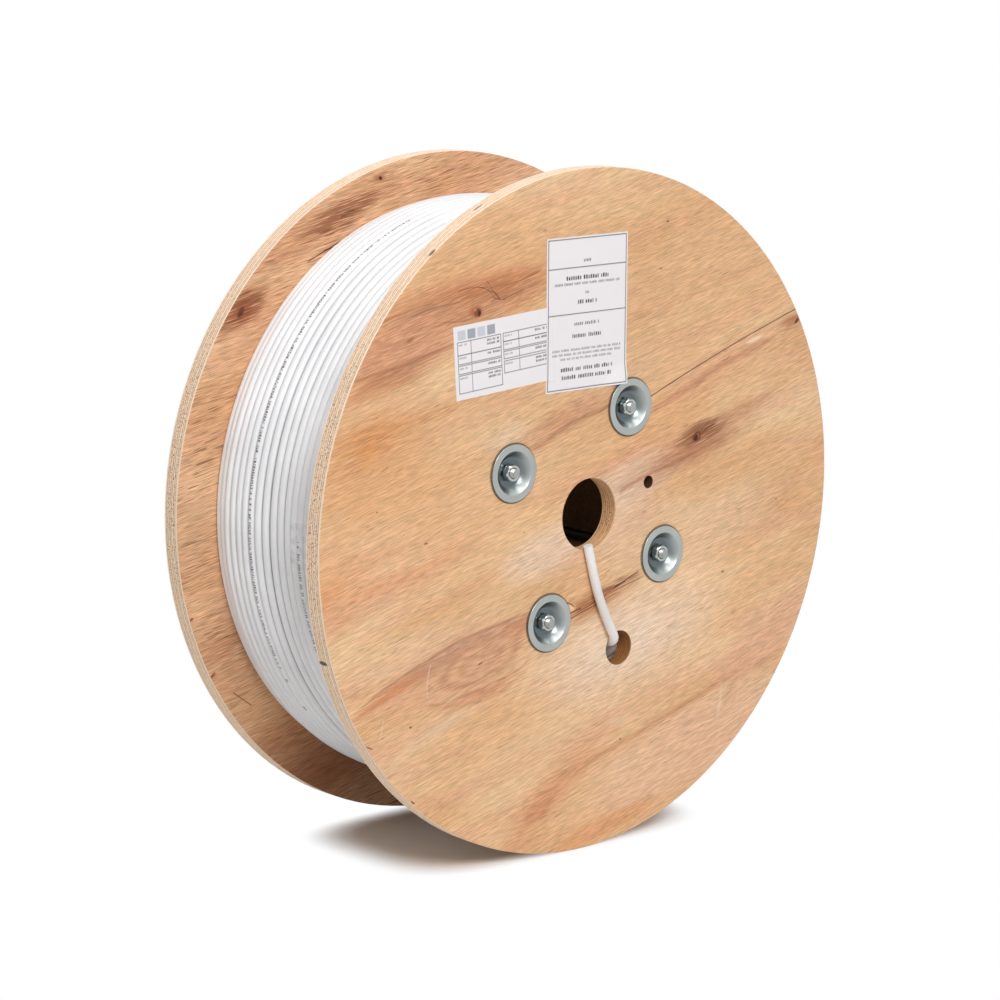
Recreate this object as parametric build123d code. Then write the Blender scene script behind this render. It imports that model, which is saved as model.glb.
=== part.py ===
from build123d import *
from math import cos, radians, sin, sqrt
import os

# Wooden cable drum, standing on its rims and wound full of white data cable. Millimetres.
# Each piece is drawn looking at the front flange: x to the right, y up, z out of the face,
# with the origin in the middle of the drum's axis. stand() then turns it upright, so that
# the axis lies along Y, the front flange faces -Y and Z is up.

# Flanges
flange_diameter = 550.0
flange_thickness = 16.0
inside_width = 160.0
axle_bore_diameter = 58.0
drive_hole_diameter = 10.0
drive_hole_radius = 67.8
drive_hole_angle = 17.0
exit_hole_diameter = 28.0
exit_hole_radius = 119.4
exit_hole_angle = -71.6

# Tie rods and nuts
rod_count = 4
rod_diameter = 8.0
rod_circle_diameter = 185.0
first_rod_angle = 63.8
rod_hole_clearance = 0.5
rod_end_past_washer = 2.5
nut_across_flats = 13.0
nut_height = 6.5
thread_clearance = 0.1

# Dished cup washers
washer_diameter = 46.0
washer_sheet = 1.5
bowl_mouth_diameter = 35.0
bowl_seat_diameter = 21.0
bowl_depth = 7.0
recess_clearance = 0.2

# Barrel: a tube clamped between the flanges, centred by the rods just inside it
barrel_wall = 6.0
rod_to_barrel_clearance = 0.5

# Cable
cable_diameter = 7.5
winding_diameter = 474.0
winding_bore_clearance = 0.2
winding_side_clearance = 0.3
turn_crown_share = 0.29

# The winding swells towards the back flange: it starts just past the tape, and the shares of the
# winding's width, from its middle towards the back, say where it is full, falls off and would be gone
winding_swell = 5.6
swell_past_tape = 1.0
swell_shares = (0.2, 0.345, 0.53)

# Clear tape over the outer end of the cable
tape_thickness = 0.2
tape_length = 50.0
tape_from_flange = 17.0
tape_start_angle = 178.5
tape_sweep_angle = 8.8

# Paper labels on the front flange, each placed by its centre, width by height
paper_thickness = 0.2
upright_label_size = (86.5, 121.0)
upright_label_centre = (-9.7, 161.8)
upright_label_tilt = 1.6
landscape_label_size = (100.0, 57.0)
landscape_label_centre = (-96.5, 135.0)
landscape_label_tilt = 5.5

# Inner end of the cable: from the winding through the exit hole, then up the flange's face
tail_route = [
    (31.5, -109.3, 79.7),
    (31.5, -109.3, 101.5),
    (18.9, -88.1, 101.3),
    (8.6, -67.4, 100.9),
    (1.7, -45.6, 100.4),
    (-4.5, -24.1, 100.1),
]
tail_arc_share = 0.45

# Cuts run this far past the faces that they open
overrun = 2.0

# Sizes that follow from those above
half_inside = inside_width / 2
half_width = half_inside + flange_thickness
flange_radius = flange_diameter / 2
rod_circle_radius = rod_circle_diameter / 2
rod_radius = rod_diameter / 2
rod_hole_radius = rod_radius + rod_hole_clearance
barrel_inner_radius = rod_circle_radius + rod_radius + rod_to_barrel_clearance
barrel_radius = barrel_inner_radius + barrel_wall
winding_radius = winding_diameter / 2
winding_width = inside_width - 2 * winding_side_clearance
washer_radius = washer_diameter / 2
bowl_mouth_radius = bowl_mouth_diameter / 2
bowl_seat_radius = bowl_seat_diameter / 2
bowl_slope = (bowl_mouth_radius - bowl_seat_radius) / bowl_depth
bowl_wall_run = washer_sheet * sqrt(1 + bowl_slope**2)
bowl_back_seat_radius = bowl_seat_radius - washer_sheet * bowl_slope + bowl_wall_run
bowl_back_mouth_radius = bowl_back_seat_radius + bowl_depth * bowl_slope
tape_back = half_inside - tape_from_flange - tape_length


def polar(radius, angle):
    """The point of the drum's face at a radius and an angle from +X."""
    return radius * cos(radians(angle)), radius * sin(radians(angle))


def rod_places():
    """The tie rods' centres, evenly spaced on their circle."""
    return [polar(rod_circle_radius, first_rod_angle + 360 / rod_count * i) for i in range(rod_count)]


def turned(*outline):
    """Turns a closed outline of (radius, height) points about the drum's axis."""
    profile = make_face(Polyline(*[(r, 0, z) for r, z in outline], close=True))
    return revolve(profile, Axis.Z)


def disc(radius, low, high):
    """A round solid on the drum's axis between two heights."""
    return Pos(0, 0, (low + high) / 2) * Cylinder(radius, high - low)


def to_back(shape):
    """The same piece on the back flange."""
    return mirror(shape, about=Plane.XY)


def stand(shape):
    """Stands a piece up as the drum stands: the drawing's y becomes up."""
    return Rot(90, 0, 0) * shape


def bowl_recess():
    """The dish bored into a flange for the back of a cup washer, open past the face."""
    depth = bowl_depth + recess_clearance
    seat = bowl_back_seat_radius + recess_clearance
    mouth = bowl_back_mouth_radius + recess_clearance + overrun * bowl_slope
    return turned((0, -depth), (seat, -depth), (mouth, overrun), (0, overrun))


def plain_flange():
    """A plywood disc with the axle bore, the rod holes and the washers' recesses."""
    body = disc(flange_radius, half_inside, half_width)
    body -= disc(axle_bore_diameter / 2, half_inside - overrun, half_width + overrun)
    for x, y in rod_places():
        body -= Pos(x, y, 0) * disc(rod_hole_radius, half_inside - overrun, half_width)
        body -= Pos(x, y, half_width) * bowl_recess()
    return body


def front_flange():
    """The flange towards the viewer, with the cable's exit hole and the drive hole."""
    body = plain_flange()
    for diameter, radius, angle in (
        (exit_hole_diameter, exit_hole_radius, exit_hole_angle),
        (drive_hole_diameter, drive_hole_radius, drive_hole_angle),
    ):
        x, y = polar(radius, angle)
        body -= Pos(x, y, 0) * disc(diameter / 2, half_inside - overrun, half_width + overrun)
    return body


def barrel():
    """The tube that the cable is wound on."""
    tube = disc(barrel_radius, -half_inside, half_inside)
    return tube - disc(barrel_inner_radius, -half_inside - overrun, half_inside + overrun)


def ramp(value, start, stop):
    """Goes from 0 at start to 1 at stop with soft ends."""
    share = min(max((value - start) / (stop - start), 0), 1)
    return share * share * (3 - 2 * share)


def crest_radius(height):
    """The winding's outer radius at a height, with its swell."""
    full, end, gone = (share * winding_width for share in swell_shares)
    rise = ramp(-height, swell_past_tape - tape_back, full)
    return winding_radius + winding_swell * rise * (1 - ramp(-height, end, gone))


def cable_winding():
    """The wound cable as one turned solid: its bore on the barrel, a crest for each turn outside."""
    bore = barrel_radius + winding_bore_clearance
    groove = turn_crown_share * cable_diameter
    turns = int(winding_width // cable_diameter)
    pitch = winding_width / turns
    low = -winding_width / 2
    outline = [(bore, low), (crest_radius(low) - groove, low)]
    for turn in range(turns):
        crest, valley = low + (turn + 1 / 2) * pitch, low + (turn + 1) * pitch
        outline.append((crest_radius(crest), crest))
        outline.append((crest_radius(valley) - groove, valley))
    outline.append((bore, -low))
    return turned(*outline)


def cable_tail():
    """The cable's inner end: straight runs joined by tangent arcs, cut off square."""
    points = [Vector(p) for p in tail_route]
    radii = []
    for before, corner, after in zip(points, points[1:], points[2:]):
        turn = (corner - before).get_angle(after - corner)
        run = min((corner - before).length, (after - corner).length)
        half_turn = radians(turn / 2)
        radii.append(tail_arc_share * run * cos(half_turn) / sin(half_turn))
    print("tail radii", [round(r, 1) for r in radii])
    path = FilletPolyline(*points, radius=radii)
    tail = sweep(Plane(path @ 0, z_dir=path % 0) * Circle(cable_diameter / 2), path=path)
    print("tail length", round(path.length, 1), "volume per section", round(tail.volume / path.length, 2))
    return tail


def end_tape():
    """A strip of clear tape across the turns, bent to the winding."""
    tape_front = half_inside - tape_from_flange
    profile = Polyline(
        (winding_radius, 0, tape_back),
        (winding_radius + tape_thickness, 0, tape_back),
        (winding_radius + tape_thickness, 0, tape_front),
        (winding_radius, 0, tape_front),
        close=True,
    )
    strip = revolve(make_face(profile), Axis.Z, revolution_arc=tape_sweep_angle)
    return Rot(0, 0, tape_start_angle) * strip


def tie_rod():
    """A tie rod, its ends standing a little past the washers' rims."""
    end = half_width + washer_sheet + rod_end_past_washer
    return disc(rod_radius, -end, end)


def cup_washer():
    """A pressed washer: a flat rim on the flange's face and a bowl let into it."""
    floor = washer_sheet - bowl_depth
    return turned(
        (washer_radius, 0),
        (washer_radius, washer_sheet),
        (bowl_mouth_radius, washer_sheet),
        (bowl_seat_radius, floor),
        (rod_hole_radius, floor),
        (rod_hole_radius, -bowl_depth),
        (bowl_back_seat_radius, -bowl_depth),
        (bowl_back_mouth_radius, 0),
    )


def nut():
    """A plain hexagon nut on the floor of its washer's bowl."""
    floor = washer_sheet - bowl_depth
    hexagon = RegularPolygon(nut_across_flats / 2, 6, major_radius=False)
    body = Pos(0, 0, floor) * extrude(hexagon, nut_height)
    return body - disc(rod_radius + thread_clearance, floor - overrun, floor + nut_height + overrun)


def on_front(shape):
    """A copy of a fitting at each tie rod, on the front flange's face, in one node."""
    return Compound(children=[Pos(x, y, half_width) * shape for x, y in rod_places()])


def paper(size, centre, tilt, low, high, margin=0):
    """A tilted block over a label's outline, between two heights above the flange's face."""
    width, height = size
    block = Box(width + 2 * margin, height + 2 * margin, high - low)
    return Pos(*centre, half_width + (low + high) / 2) * Rot(0, 0, tilt) * block


def landscape_label():
    """The lower label, flat on the flange's face."""
    return paper(landscape_label_size, landscape_label_centre, landscape_label_tilt, 0, paper_thickness)


def upright_label():
    """The upper label: flat on the face, stepping up over the lower one and a washer's rim."""
    rim_x, rim_y = rod_places()[0]
    rim = Pos(rim_x, rim_y, half_width)
    lower = (landscape_label_size, landscape_label_centre, landscape_label_tilt)
    upper = (upright_label_size, upright_label_centre, upright_label_tilt)
    over_lower = paper(*lower, 0, 2 * paper_thickness, paper_thickness)
    over_rim = rim * disc(washer_radius + paper_thickness, 0, washer_sheet + paper_thickness)
    sheet = paper(*upper, 0, paper_thickness)
    sheet += paper(*upper, 0, overrun) & over_lower
    sheet += paper(*upper, 0, overrun) & over_rim
    return sheet - landscape_label() - rim * disc(washer_radius, 0, washer_sheet)


nodes = {
    "flange_front": front_flange(),
    "flange_back": to_back(plain_flange()),
    "barrel": barrel(),
    "cable_winding": cable_winding(),
    "cable_tail": cable_tail(),
    "end_tape": end_tape(),
    "cup_washers_front": on_front(cup_washer()),
    "cup_washers_back": to_back(on_front(cup_washer())),
    "nuts_front": on_front(nut()),
    "nuts_back": to_back(on_front(nut())),
    "label_landscape": landscape_label(),
    "label_upright": upright_label(),
}
for number, (x, y) in enumerate(rod_places(), start=1):
    nodes[f"tie_rod_{number}"] = Pos(x, y, 0) * tie_rod()

os.makedirs("parts", exist_ok=True)
for name, shape in nodes.items():
    export_step(stand(shape), f"parts/{name}.step")
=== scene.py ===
"""Looks of a plywood cable drum wound with white cable, standing on its rims.

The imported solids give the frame: the drum's axis lies along Y, the front flange faces -Y and Z is up.
Each class below builds one sub-assembly in metres, in that frame, and dresses it.
"""

import logging
import math
from dataclasses import dataclass, field
from enum import Enum
from functools import partial
from typing import Callable, NamedTuple

import bmesh
import bpy
import numpy as np
from mathutils import Matrix, Vector


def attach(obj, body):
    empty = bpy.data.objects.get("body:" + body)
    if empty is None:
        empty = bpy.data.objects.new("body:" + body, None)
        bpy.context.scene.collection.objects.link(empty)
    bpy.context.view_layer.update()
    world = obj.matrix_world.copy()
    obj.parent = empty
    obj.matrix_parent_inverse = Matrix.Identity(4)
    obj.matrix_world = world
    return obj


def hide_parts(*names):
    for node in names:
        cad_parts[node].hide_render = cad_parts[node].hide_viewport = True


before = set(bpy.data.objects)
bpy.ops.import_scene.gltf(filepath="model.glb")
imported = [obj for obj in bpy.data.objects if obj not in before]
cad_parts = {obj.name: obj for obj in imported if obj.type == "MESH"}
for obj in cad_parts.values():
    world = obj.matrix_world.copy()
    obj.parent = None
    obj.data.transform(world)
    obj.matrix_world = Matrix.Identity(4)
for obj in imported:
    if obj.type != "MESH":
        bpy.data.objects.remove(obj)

LOG = logging.getLogger("cable_drum")
MM = 0.001

Tree = bpy.types.NodeTree
Socket = bpy.types.NodeSocket
Value = Socket | float | str | bool | tuple[float, ...] | None
AddNode = Callable[..., Socket | None]


class Side(Enum):
    """Which flange a piece belongs to, as the sign of its Y."""

    FRONT = -1
    BACK = 1


# Helpers for nodes and meshes


def linear(hex_colour: str) -> tuple[float, float, float, float]:
    """Turns an sRGB hex colour into the linear values that Blender's sockets take.

    Args:
        hex_colour: Six hex digits after a hash.

    Returns:
        Linear red, green, blue and an alpha of 1.
    """
    channels = [int(hex_colour[i:i + 2], 16) / 255 for i in (1, 3, 5)]
    return (*[c / 12.92 if c <= 0.04045 else ((c + 0.055) / 1.055) ** 2.4 for c in channels], 1.0)


def add_node(tree: Tree, kind: str, *inputs: Value, out: int | str = 0, **settings: Value) -> Socket | None:
    """Adds a shader node, sets it and links it.

    Args:
        tree: The material's or world's node tree.
        kind: The node's type without its ShaderNode prefix.
        inputs: Values or sockets for its first inputs, in order.
        out: The output that is wanted.
        settings: Its properties, and values or sockets for inputs by name.

    Returns:
        The output socket, or None where the node has none.
    """
    node = tree.nodes.new("ShaderNode" + kind)
    sockets = dict(enumerate(inputs))
    for name, value in settings.items():
        if hasattr(node, name):
            setattr(node, name, value)
        else:
            sockets[name] = value
    for key, value in sockets.items():
        if isinstance(value, Socket):
            tree.links.new(value, node.inputs[key])
        elif value is not None:
            node.inputs[key].default_value = value
    return node.outputs[out] if len(node.outputs) else None


def new_material(name: str) -> tuple[bpy.types.Material, AddNode, Socket]:
    """Makes an empty node material.

    Args:
        name: The real material's name.

    Returns:
        The material, what adds a node to it, and the socket of its Object coordinates.
    """
    material = bpy.data.materials.new(name)
    material.use_nodes = True
    material.node_tree.nodes.clear()
    node = partial(add_node, material.node_tree)
    return material, node, node("TexCoord", out="Object")


def link_object(name: str, data: bpy.types.ID) -> bpy.types.Object:
    """Puts a mesh, curve, lamp or camera into the scene, at the origin.

    Args:
        name: The object's name.
        data: What it shows.

    Returns:
        The object.
    """
    made = bpy.data.objects.new(name, data)
    bpy.context.collection.objects.link(made)
    return made


def cell_corners(rows: int, columns: int) -> np.ndarray:
    """The corners of a grid's cells, before any wrapping.

    Args:
        rows: Cells along the first parameter.
        columns: Cells along the second.

    Returns:
        A (cells, 4, 2) array of row and column numbers, in order round each cell.
    """
    i, j = np.meshgrid(np.arange(rows), np.arange(columns), indexing="ij")
    steps = np.array([(0, 0), (1, 0), (1, 1), (0, 1)])
    return np.stack([i, j], -1).reshape(-1, 1, 2) + steps


def grid_piece(
    name: str,
    grids: list[np.ndarray],
    wrap: tuple[bool, bool] = (False, False),
    uv: np.ndarray | None = None,
    caps: bool = False,
) -> bpy.types.Object:
    """Puts one or more surfaces of the same grid size into a mesh object at the origin.

    Each grid holds a point for every pair of its two parameters. Neighbouring points make a quad, and a
    wrapped parameter joins its last row to its first. Faces are turned so that each surface's signed
    volume, the sum of its triangles' corner determinants, is positive.

    Args:
        name: The piece's name.
        grids: Arrays of (rows, columns, 3) points in metres.
        wrap: Whether rows and columns close on themselves.
        uv: A (rows + 1, columns + 1, 2) or smaller array of surface coordinates for the unwrapped corners.
        caps: Whether the first and last rows are closed with a flat face each.

    Returns:
        The object, smooth shaded.
    """
    rows, columns = grids[0].shape[:2]
    corners = cell_corners(rows if wrap[0] else rows - 1, columns if wrap[1] else columns - 1)
    quads = (corners[..., 0] % rows) * columns + corners[..., 1] % columns
    ends = [np.arange(columns)[::-1], (rows - 1) * columns + np.arange(columns)] if caps else []
    faces: list[list[int]] = []
    flipped = False
    for number, grid in enumerate(grids):
        points = grid.reshape(-1, 3)
        a, b, c, d = (points[quads[:, k]] for k in range(4))
        volume = np.einsum("ij,ij->", a, np.cross(b, c)) + np.einsum("ij,ij->", a, np.cross(c, d))
        for end in ends:
            fan = points[end]
            volume += np.einsum("ij,ij->", np.cross(fan[1:-1], fan[2:]), np.repeat(fan[:1], len(fan) - 2, 0))
        flipped = volume < 0
        order = slice(None, None, -1) if flipped else slice(None)
        faces += (quads[:, order] + number * len(points)).tolist()
        faces += [(end[order] + number * len(points)).tolist() for end in ends]
    mesh = bpy.data.meshes.new(name)
    mesh.from_pydata(np.concatenate([g.reshape(-1, 3) for g in grids]), [], faces)
    if uv is not None:
        corner_uv = uv[corners[..., 0], corners[..., 1]]
        corner_uv = corner_uv[:, ::-1] if flipped else corner_uv
        flat = np.zeros((len(mesh.loops), 2), np.float32)
        flat[:corner_uv.size // 2] = corner_uv.reshape(-1, 2)
        mesh.uv_layers.new(name="UVMap").data.foreach_set("uv", flat.ravel())
    mesh.polygons.foreach_set("use_smooth", np.ones(len(mesh.polygons), bool))
    mesh.update()
    return link_object(name, mesh)


def dress(
    piece: bpy.types.Object,
    material: bpy.types.Material,
    slot: str,
    replaced: tuple[str, ...] = (),
    sharp_degrees: float | None = None,
) -> bpy.types.Object:
    """Gives a new piece its finish and ties it to the frame.

    Args:
        piece: The new piece.
        material: Its material.
        slot: The name of the finish's slot, which is only logged.
        replaced: The solids that it stands for.
        sharp_degrees: Edges that fold more than this are shaded as sharp.

    Returns:
        The same piece.
    """
    piece.data.materials.append(material)
    if sharp_degrees is not None:
        piece.data.set_sharp_from_angle(angle=math.radians(sharp_degrees))
    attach(piece, "root")
    if replaced:
        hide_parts(*replaced)
    LOG.info("piece %s, slot %s", piece.name, slot)
    return piece


def turned_grid(
    radius: np.ndarray, height: np.ndarray, centre: tuple[float, float], side: Side, steps: int,
) -> np.ndarray:
    """Turns a profile about an axis that is parallel to the drum's.

    The point at profile step i and angle a is centre + radius_i (cos a, sin a), at a distance of height_i
    from the drum's middle on the given side.

    Args:
        radius: The profile's radii, which may also be given for each angle.
        height: The profile's heights.
        centre: The axis' place (x, z).
        side: The flange that it faces.
        steps: Points round the axis.

    Returns:
        A (profile, steps, 3) grid of points.
    """
    angle = np.linspace(0, 2 * np.pi, steps, endpoint=False)
    radius = np.broadcast_to(radius.reshape(len(height), -1), (len(height), steps))
    return np.stack([
        centre[0] + radius * np.cos(angle),
        np.broadcast_to(side.value * height[:, None], radius.shape),
        centre[1] + radius * np.sin(angle),
    ], -1)


def smooth_step(value: np.ndarray, low: float, high: float) -> np.ndarray:
    """Rises from 0 at low to 1 at high on the cubic 3t^2 - 2t^3, where t is the share of the way."""
    t = np.clip((value - low) / (high - low), 0, 1)
    return t * t * (3 - 2 * t)


# Finishes


class FacePoint(NamedTuple):
    """Sockets for where a point lies on a veneer face: to the right and up."""

    x: Socket
    z: Socket


@dataclass(frozen=True)
class Oval:
    """An oval place on a veneer face, in millimetres.

    long and wide are its half sizes, tilt is in degrees up to the right, and bend lowers its tips.
    """

    x: float
    z: float
    long: float
    wide: float
    tilt: float
    bend: float = field(default=0.0, kw_only=True)

    def _axes(self, node: AddNode, point: FacePoint) -> tuple[Socket, Socket]:
        """Coordinates in the oval, with the parabola of its bend made straight.

        Args:
            node: Adds a node to the material.
            point: The place on the face.

        Returns:
            Sockets that are 1 at the oval's tip and 1 at its side.
        """
        right, up = math.cos(math.radians(self.tilt)), math.sin(math.radians(self.tilt))
        axes = []
        for to_right, to_top, size in ((right, up, self.long), (-up, right, self.wide)):
            middle = (to_right * self.x + to_top * self.z) / size
            part = node("Math", point.x, to_right / (size * MM), -middle, operation="MULTIPLY_ADD")
            axes.append(node("Math", point.z, to_top / (size * MM), part, operation="MULTIPLY_ADD"))
        u, w = axes
        if self.bend:
            square = node("Math", u, u, operation="MULTIPLY")
            w = node("Math", square, self.bend / self.wide, w, operation="MULTIPLY_ADD")
        return u, w

    def falloff(self, node: AddNode, point: FacePoint) -> Socket:
        """One minus the distance from the oval's middle, in shares of its radius there.

        Args:
            node: Adds a node to the material.
            point: The place on the face.

        Returns:
            A socket that falls from 1 in the middle to 0 at the edge.
        """
        u, w = self._axes(node, point)
        square = node("Math", u, u, operation="MULTIPLY")
        square = node("Math", w, w, square, operation="MULTIPLY_ADD")
        far = node("Math", square, operation="SQRT")
        return node("Math", 1.0, far, operation="SUBTRACT", use_clamp=True)


@dataclass(frozen=True)
class Mark(Oval):
    """An oval of colour.

    edge is the share of its radius over which it fades in, drift says whether it follows the veneer's waves,
    fray breaks it up along the fibres, and hollow leaves only a line round it at the falloff that edge names,
    as wide as that share of the radius.
    """

    colour: str
    strength: float
    edge: float = 0.6
    drift: bool = True
    fray: float = 0.0
    hollow: float = 0.0

    def paint(self, node: AddNode, colour: Socket, point: FacePoint, kept: dict[float, Socket]) -> Socket:
        """Lays the mark over a colour.

        Args:
            node: Adds a node to the material.
            colour: The colour beneath.
            point: The place on the face.
            kept: For each fray, how much stays, in streaks along the fibres.

        Returns:
            The new colour's socket.
        """
        fall = self.falloff(node, point)
        if self.fray:
            fall = node("Math", fall, kept[self.fray], operation="MULTIPLY")
        if self.hollow:
            fall = node("Math", fall, self.edge, operation="SUBTRACT")
            fall = node("Math", fall, operation="ABSOLUTE")
            cover = node("MapRange", fall, self.hollow, 0.0, 0.0, self.strength)
        else:
            cover = node("MapRange", fall, 0.0, self.edge, 0.0, self.strength,
                         interpolation_type="SMOOTHSTEP")
        return node("MixRGB", cover, colour, linear(self.colour))


@dataclass(frozen=True)
class Stroke(Mark):
    """A mark of even width, whose ends narrow over one part in taper of its half length."""

    taper: float = 5.0

    def falloff(self, node: AddNode, point: FacePoint) -> Socket:
        """The lesser of the distances to the sides and to the tips, the latter taper times as steep.

        Args:
            node: Adds a node to the material.
            point: The place on the face.

        Returns:
            A socket that falls from 1 on the middle line to 0 at the sides and the tips.
        """
        u, w = (node("Math", axis, operation="ABSOLUTE") for axis in self._axes(node, point))
        end = node("Math", u, -self.taper, self.taper, operation="MULTIPLY_ADD")
        side = node("Math", 1.0, w, operation="SUBTRACT")
        return node("Math", end, side, operation="MINIMUM", use_clamp=True)


@dataclass(frozen=True)
class Swirl(Oval):
    """A place where growth rings run round a knot or a hill in the log, and how many of them."""

    rings: float


@dataclass(frozen=True)
class EdgeMarkAndShade:
    """A dark spot in millimetres, a real mark on a sawn edge or painted shade on a hole's wall: place, half
    sizes along Y and across.
    """

    x: float
    y: float
    z: float
    deep: float
    wide: float
    strength: float
    colour: str = "#3A2A1C"


@dataclass(frozen=True)
class Plywood:
    """Raw softwood plywood, rotary cut, unsanded, sawn to a disc.

    To the eye it is a matt, warm tan sheet: broad cloudy colour, growth rings as wavy contour lines that
    close round knots, fine fibres along the grain, short dark pores, and on the sawn edge seven plies, pale
    where their grain runs along the edge and dotted with open pores where it ends there.

    The marks that lie under the growth rings and those over the fibres go on the face that looks to -Y, and
    reverse are the stains of the other face. Besides real stains and scars, the first two lists hold painted
    shade: the darker lower part of the back flange's inner face and a contact shadow round each washer.
    Sizes in millimetres are along and across the grain.
    """

    name: str
    low_y: float
    grain_degrees: float
    core_degrees: float = -10.0
    stains_and_shade: tuple[Mark, ...] = ()
    scars_and_shade: tuple[Mark, ...] = ()
    reverse: tuple[Mark, ...] = ()
    swirls: tuple[Swirl, ...] = ()
    edge_marks_and_shade: tuple[EdgeMarkAndShade, ...] = ()
    pale: str = "#E8C297"
    tan: str = "#DDAC7C"
    blush: str = "#DCA483"
    ring_colour: str = "#BF8360"
    pore_colour: str = "#8A5838"
    whisker_colour: str = "#F3DDC2"
    pore_strength: float = 0.4
    pore_from: float = 0.64
    whisker_strength: float = 0.3
    fibre_contrast: float = 0.09
    fibre_mm: tuple[float, float] = (20.0, 1.5)
    grit_contrast: float = 0.22
    grit_mm: tuple[float, float] = (11.0, 0.42)
    ring_strength: float = 0.8
    ring_spacing_mm: float = 6.0
    ring_wander: float = 13.0
    ring_wave_mm: tuple[float, float] = (240.0, 70.0)
    ring_patch_mm: tuple[float, float] = (150.0, 40.0)
    wave_mm: tuple[float, float] = (130.0, 38.0)
    wave_reach: tuple[float, float, float] = (0.026, 0.0, 0.020)
    torn_mm: tuple[float, float] = (24.0, 0.9)
    cloud_mm: tuple[float, float] = (190.0, 60.0)
    band_mm: tuple[float, float] = (170.0, 20.0)
    strand_mm: tuple[float, float] = (45.0, 3.0)
    pore_share: float = 0.7
    pore_wide_mm: float = 1.1
    pore_patch_mm: tuple[float, float] = (70.0, 28.0)
    chatter_mm: tuple[float, float] = (3.0, 9.0)
    rough_mm: tuple[float, float] = (20.0, 4.0)
    thickness: float = 0.016
    plies: int = 7
    ply_colours: tuple[str, str] = ("#FFE9CF", "#FFDAB6")
    glue_colour: str = "#985C32"
    pit_colour: str = "#7C5434"
    hole_shades: tuple[str, str] = ("#EFDABF", "#A8845C")
    hole_within: float = 0.2
    axle_within: tuple[float, float] = (0.04, 0.06)

    def _noise(
        self, node: AddNode, vector: Socket, size: tuple[float, float], detail: float = 2.0,
        through: float = 25.0, out: str = "Fac",
    ) -> Socket:
        """Noise in blotches of a real size, and new on each face.

        Args:
            node: Adds a node to the material.
            vector: The place, with X along the grain.
            size: The blotches' length and width in millimetres.
            detail: Octaves of finer noise.
            through: The blotches' depth along Y in millimetres.
            out: The output that is wanted.

        Returns:
            The noise's socket.
        """
        along, across = size
        scaled = node("Mapping", vector, Scale=(1 / (along * MM), 1 / (through * MM), 1 / (across * MM)))
        return node("TexNoise", scaled, Scale=1.0, Detail=detail, out=out)

    def _rings(self, node: AddNode, turned: Socket, drifted: FacePoint, facing: Socket) -> Socket:
        """How dark the growth rings are.

        Ring height is the distance across the grain in ring spacings plus slow noise plus each swirl's
        hill, and a ring line darkens slowly along its fraction and ends sharply, as late wood does.

        Args:
            node: Adds a node to the material.
            turned: Object coordinates with X along the grain.
            drifted: The place on the face, shifted by the veneer's waves.
            facing: 1 on the faces that carry the swirls.

        Returns:
            A socket of 0 to 1.
        """
        across = node("SeparateXYZ", turned, out="Z")
        hills = 0.0
        for swirl in self.swirls:
            fall = swirl.falloff(node, drifted)
            hills = node("Math", fall, swirl.rings, hills, operation="MULTIPLY_ADD")
        hills = node("Math", hills, facing, operation="MULTIPLY")
        slow = self._noise(node, turned, self.ring_wave_mm, 3.0)
        height = node("Math", across, 1 / (self.ring_spacing_mm * MM), hills, operation="MULTIPLY_ADD")
        height = node("Math", slow, self.ring_wander, height, operation="MULTIPLY_ADD")
        step = node("Math", height, operation="FRACT")
        rise = node("MapRange", step, 0.25, 0.9, 0.0, 1.0, interpolation_type="SMOOTHSTEP")
        drop = node("MapRange", step, 0.9, 1.0, 1.0, 0.0)
        ring = node("Math", rise, drop, operation="MULTIPLY")
        patch = self._noise(node, turned, self.ring_patch_mm, 1.0)
        shown = node("MapRange", patch, 0.45, 0.7, 0.02, 0.22)
        flame = node("MapRange", hills, 0.1, 1.6, 0.0, 0.4)
        shown = node("Math", shown, flame, operation="MAXIMUM")
        shown = node("Math", shown, self.ring_strength, operation="MULTIPLY")
        return node("Math", ring, shown, operation="MULTIPLY")

    def _face(self, node: AddNode, place: Socket, turned: Socket, facing: Socket) -> tuple[Socket, Socket]:
        """The veneer face's colour and relief.

        Args:
            node: Adds a node to the material.
            place: Object coordinates.
            turned: The same with X along the grain.
            facing: 1 on the faces that look to -Y, which carry the marks and their painted shade.

        Returns:
            Sockets for the colour and the relief.
        """
        waves = self._noise(node, turned, self.wave_mm, out="Color")
        shift = node("VectorMath", waves, (0.5, 0.5, 0.5), operation="SUBTRACT")
        waved = node("VectorMath", shift, self.wave_reach, place, operation="MULTIPLY_ADD")
        still, drifted = (
            FacePoint(*(node("SeparateXYZ", vector, out=axis) for axis in "XZ")) for vector in (place, waved)
        )
        torn = self._noise(node, turned, self.torn_mm, 3.0)
        torn = node("MapRange", torn, 0.36, 0.64, 0.0, 1.0)
        frays = sorted({mark.fray for mark in self.stains_and_shade + self.scars_and_shade + self.reverse})
        kept = {fray: node("Math", torn, -fray, 1.0, operation="MULTIPLY_ADD") for fray in frays if fray}

        cloud = self._noise(node, turned, self.cloud_mm, 3.0)
        cloud = node("MapRange", cloud, 0.36, 0.64, 0.0, 1.0)
        colour = node("MixRGB", cloud, linear(self.pale), linear(self.tan))
        band = self._noise(node, turned, self.band_mm, 3.0, through=60)
        band = node("MapRange", band, 0.48, 0.68, 0.0, 0.6)
        colour = node("MixRGB", band, colour, linear(self.blush))
        stained_and_shaded = colour
        for mark in self.stains_and_shade:
            stained_and_shaded = mark.paint(node, stained_and_shaded, drifted if mark.drift else still, kept)
        for mark in self.reverse:
            colour = mark.paint(node, colour, drifted, kept)
        colour = node("MixRGB", facing, colour, stained_and_shaded)
        ring = self._rings(node, turned, drifted, facing)
        colour = node("MixRGB", ring, colour, linear(self.ring_colour))

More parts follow.
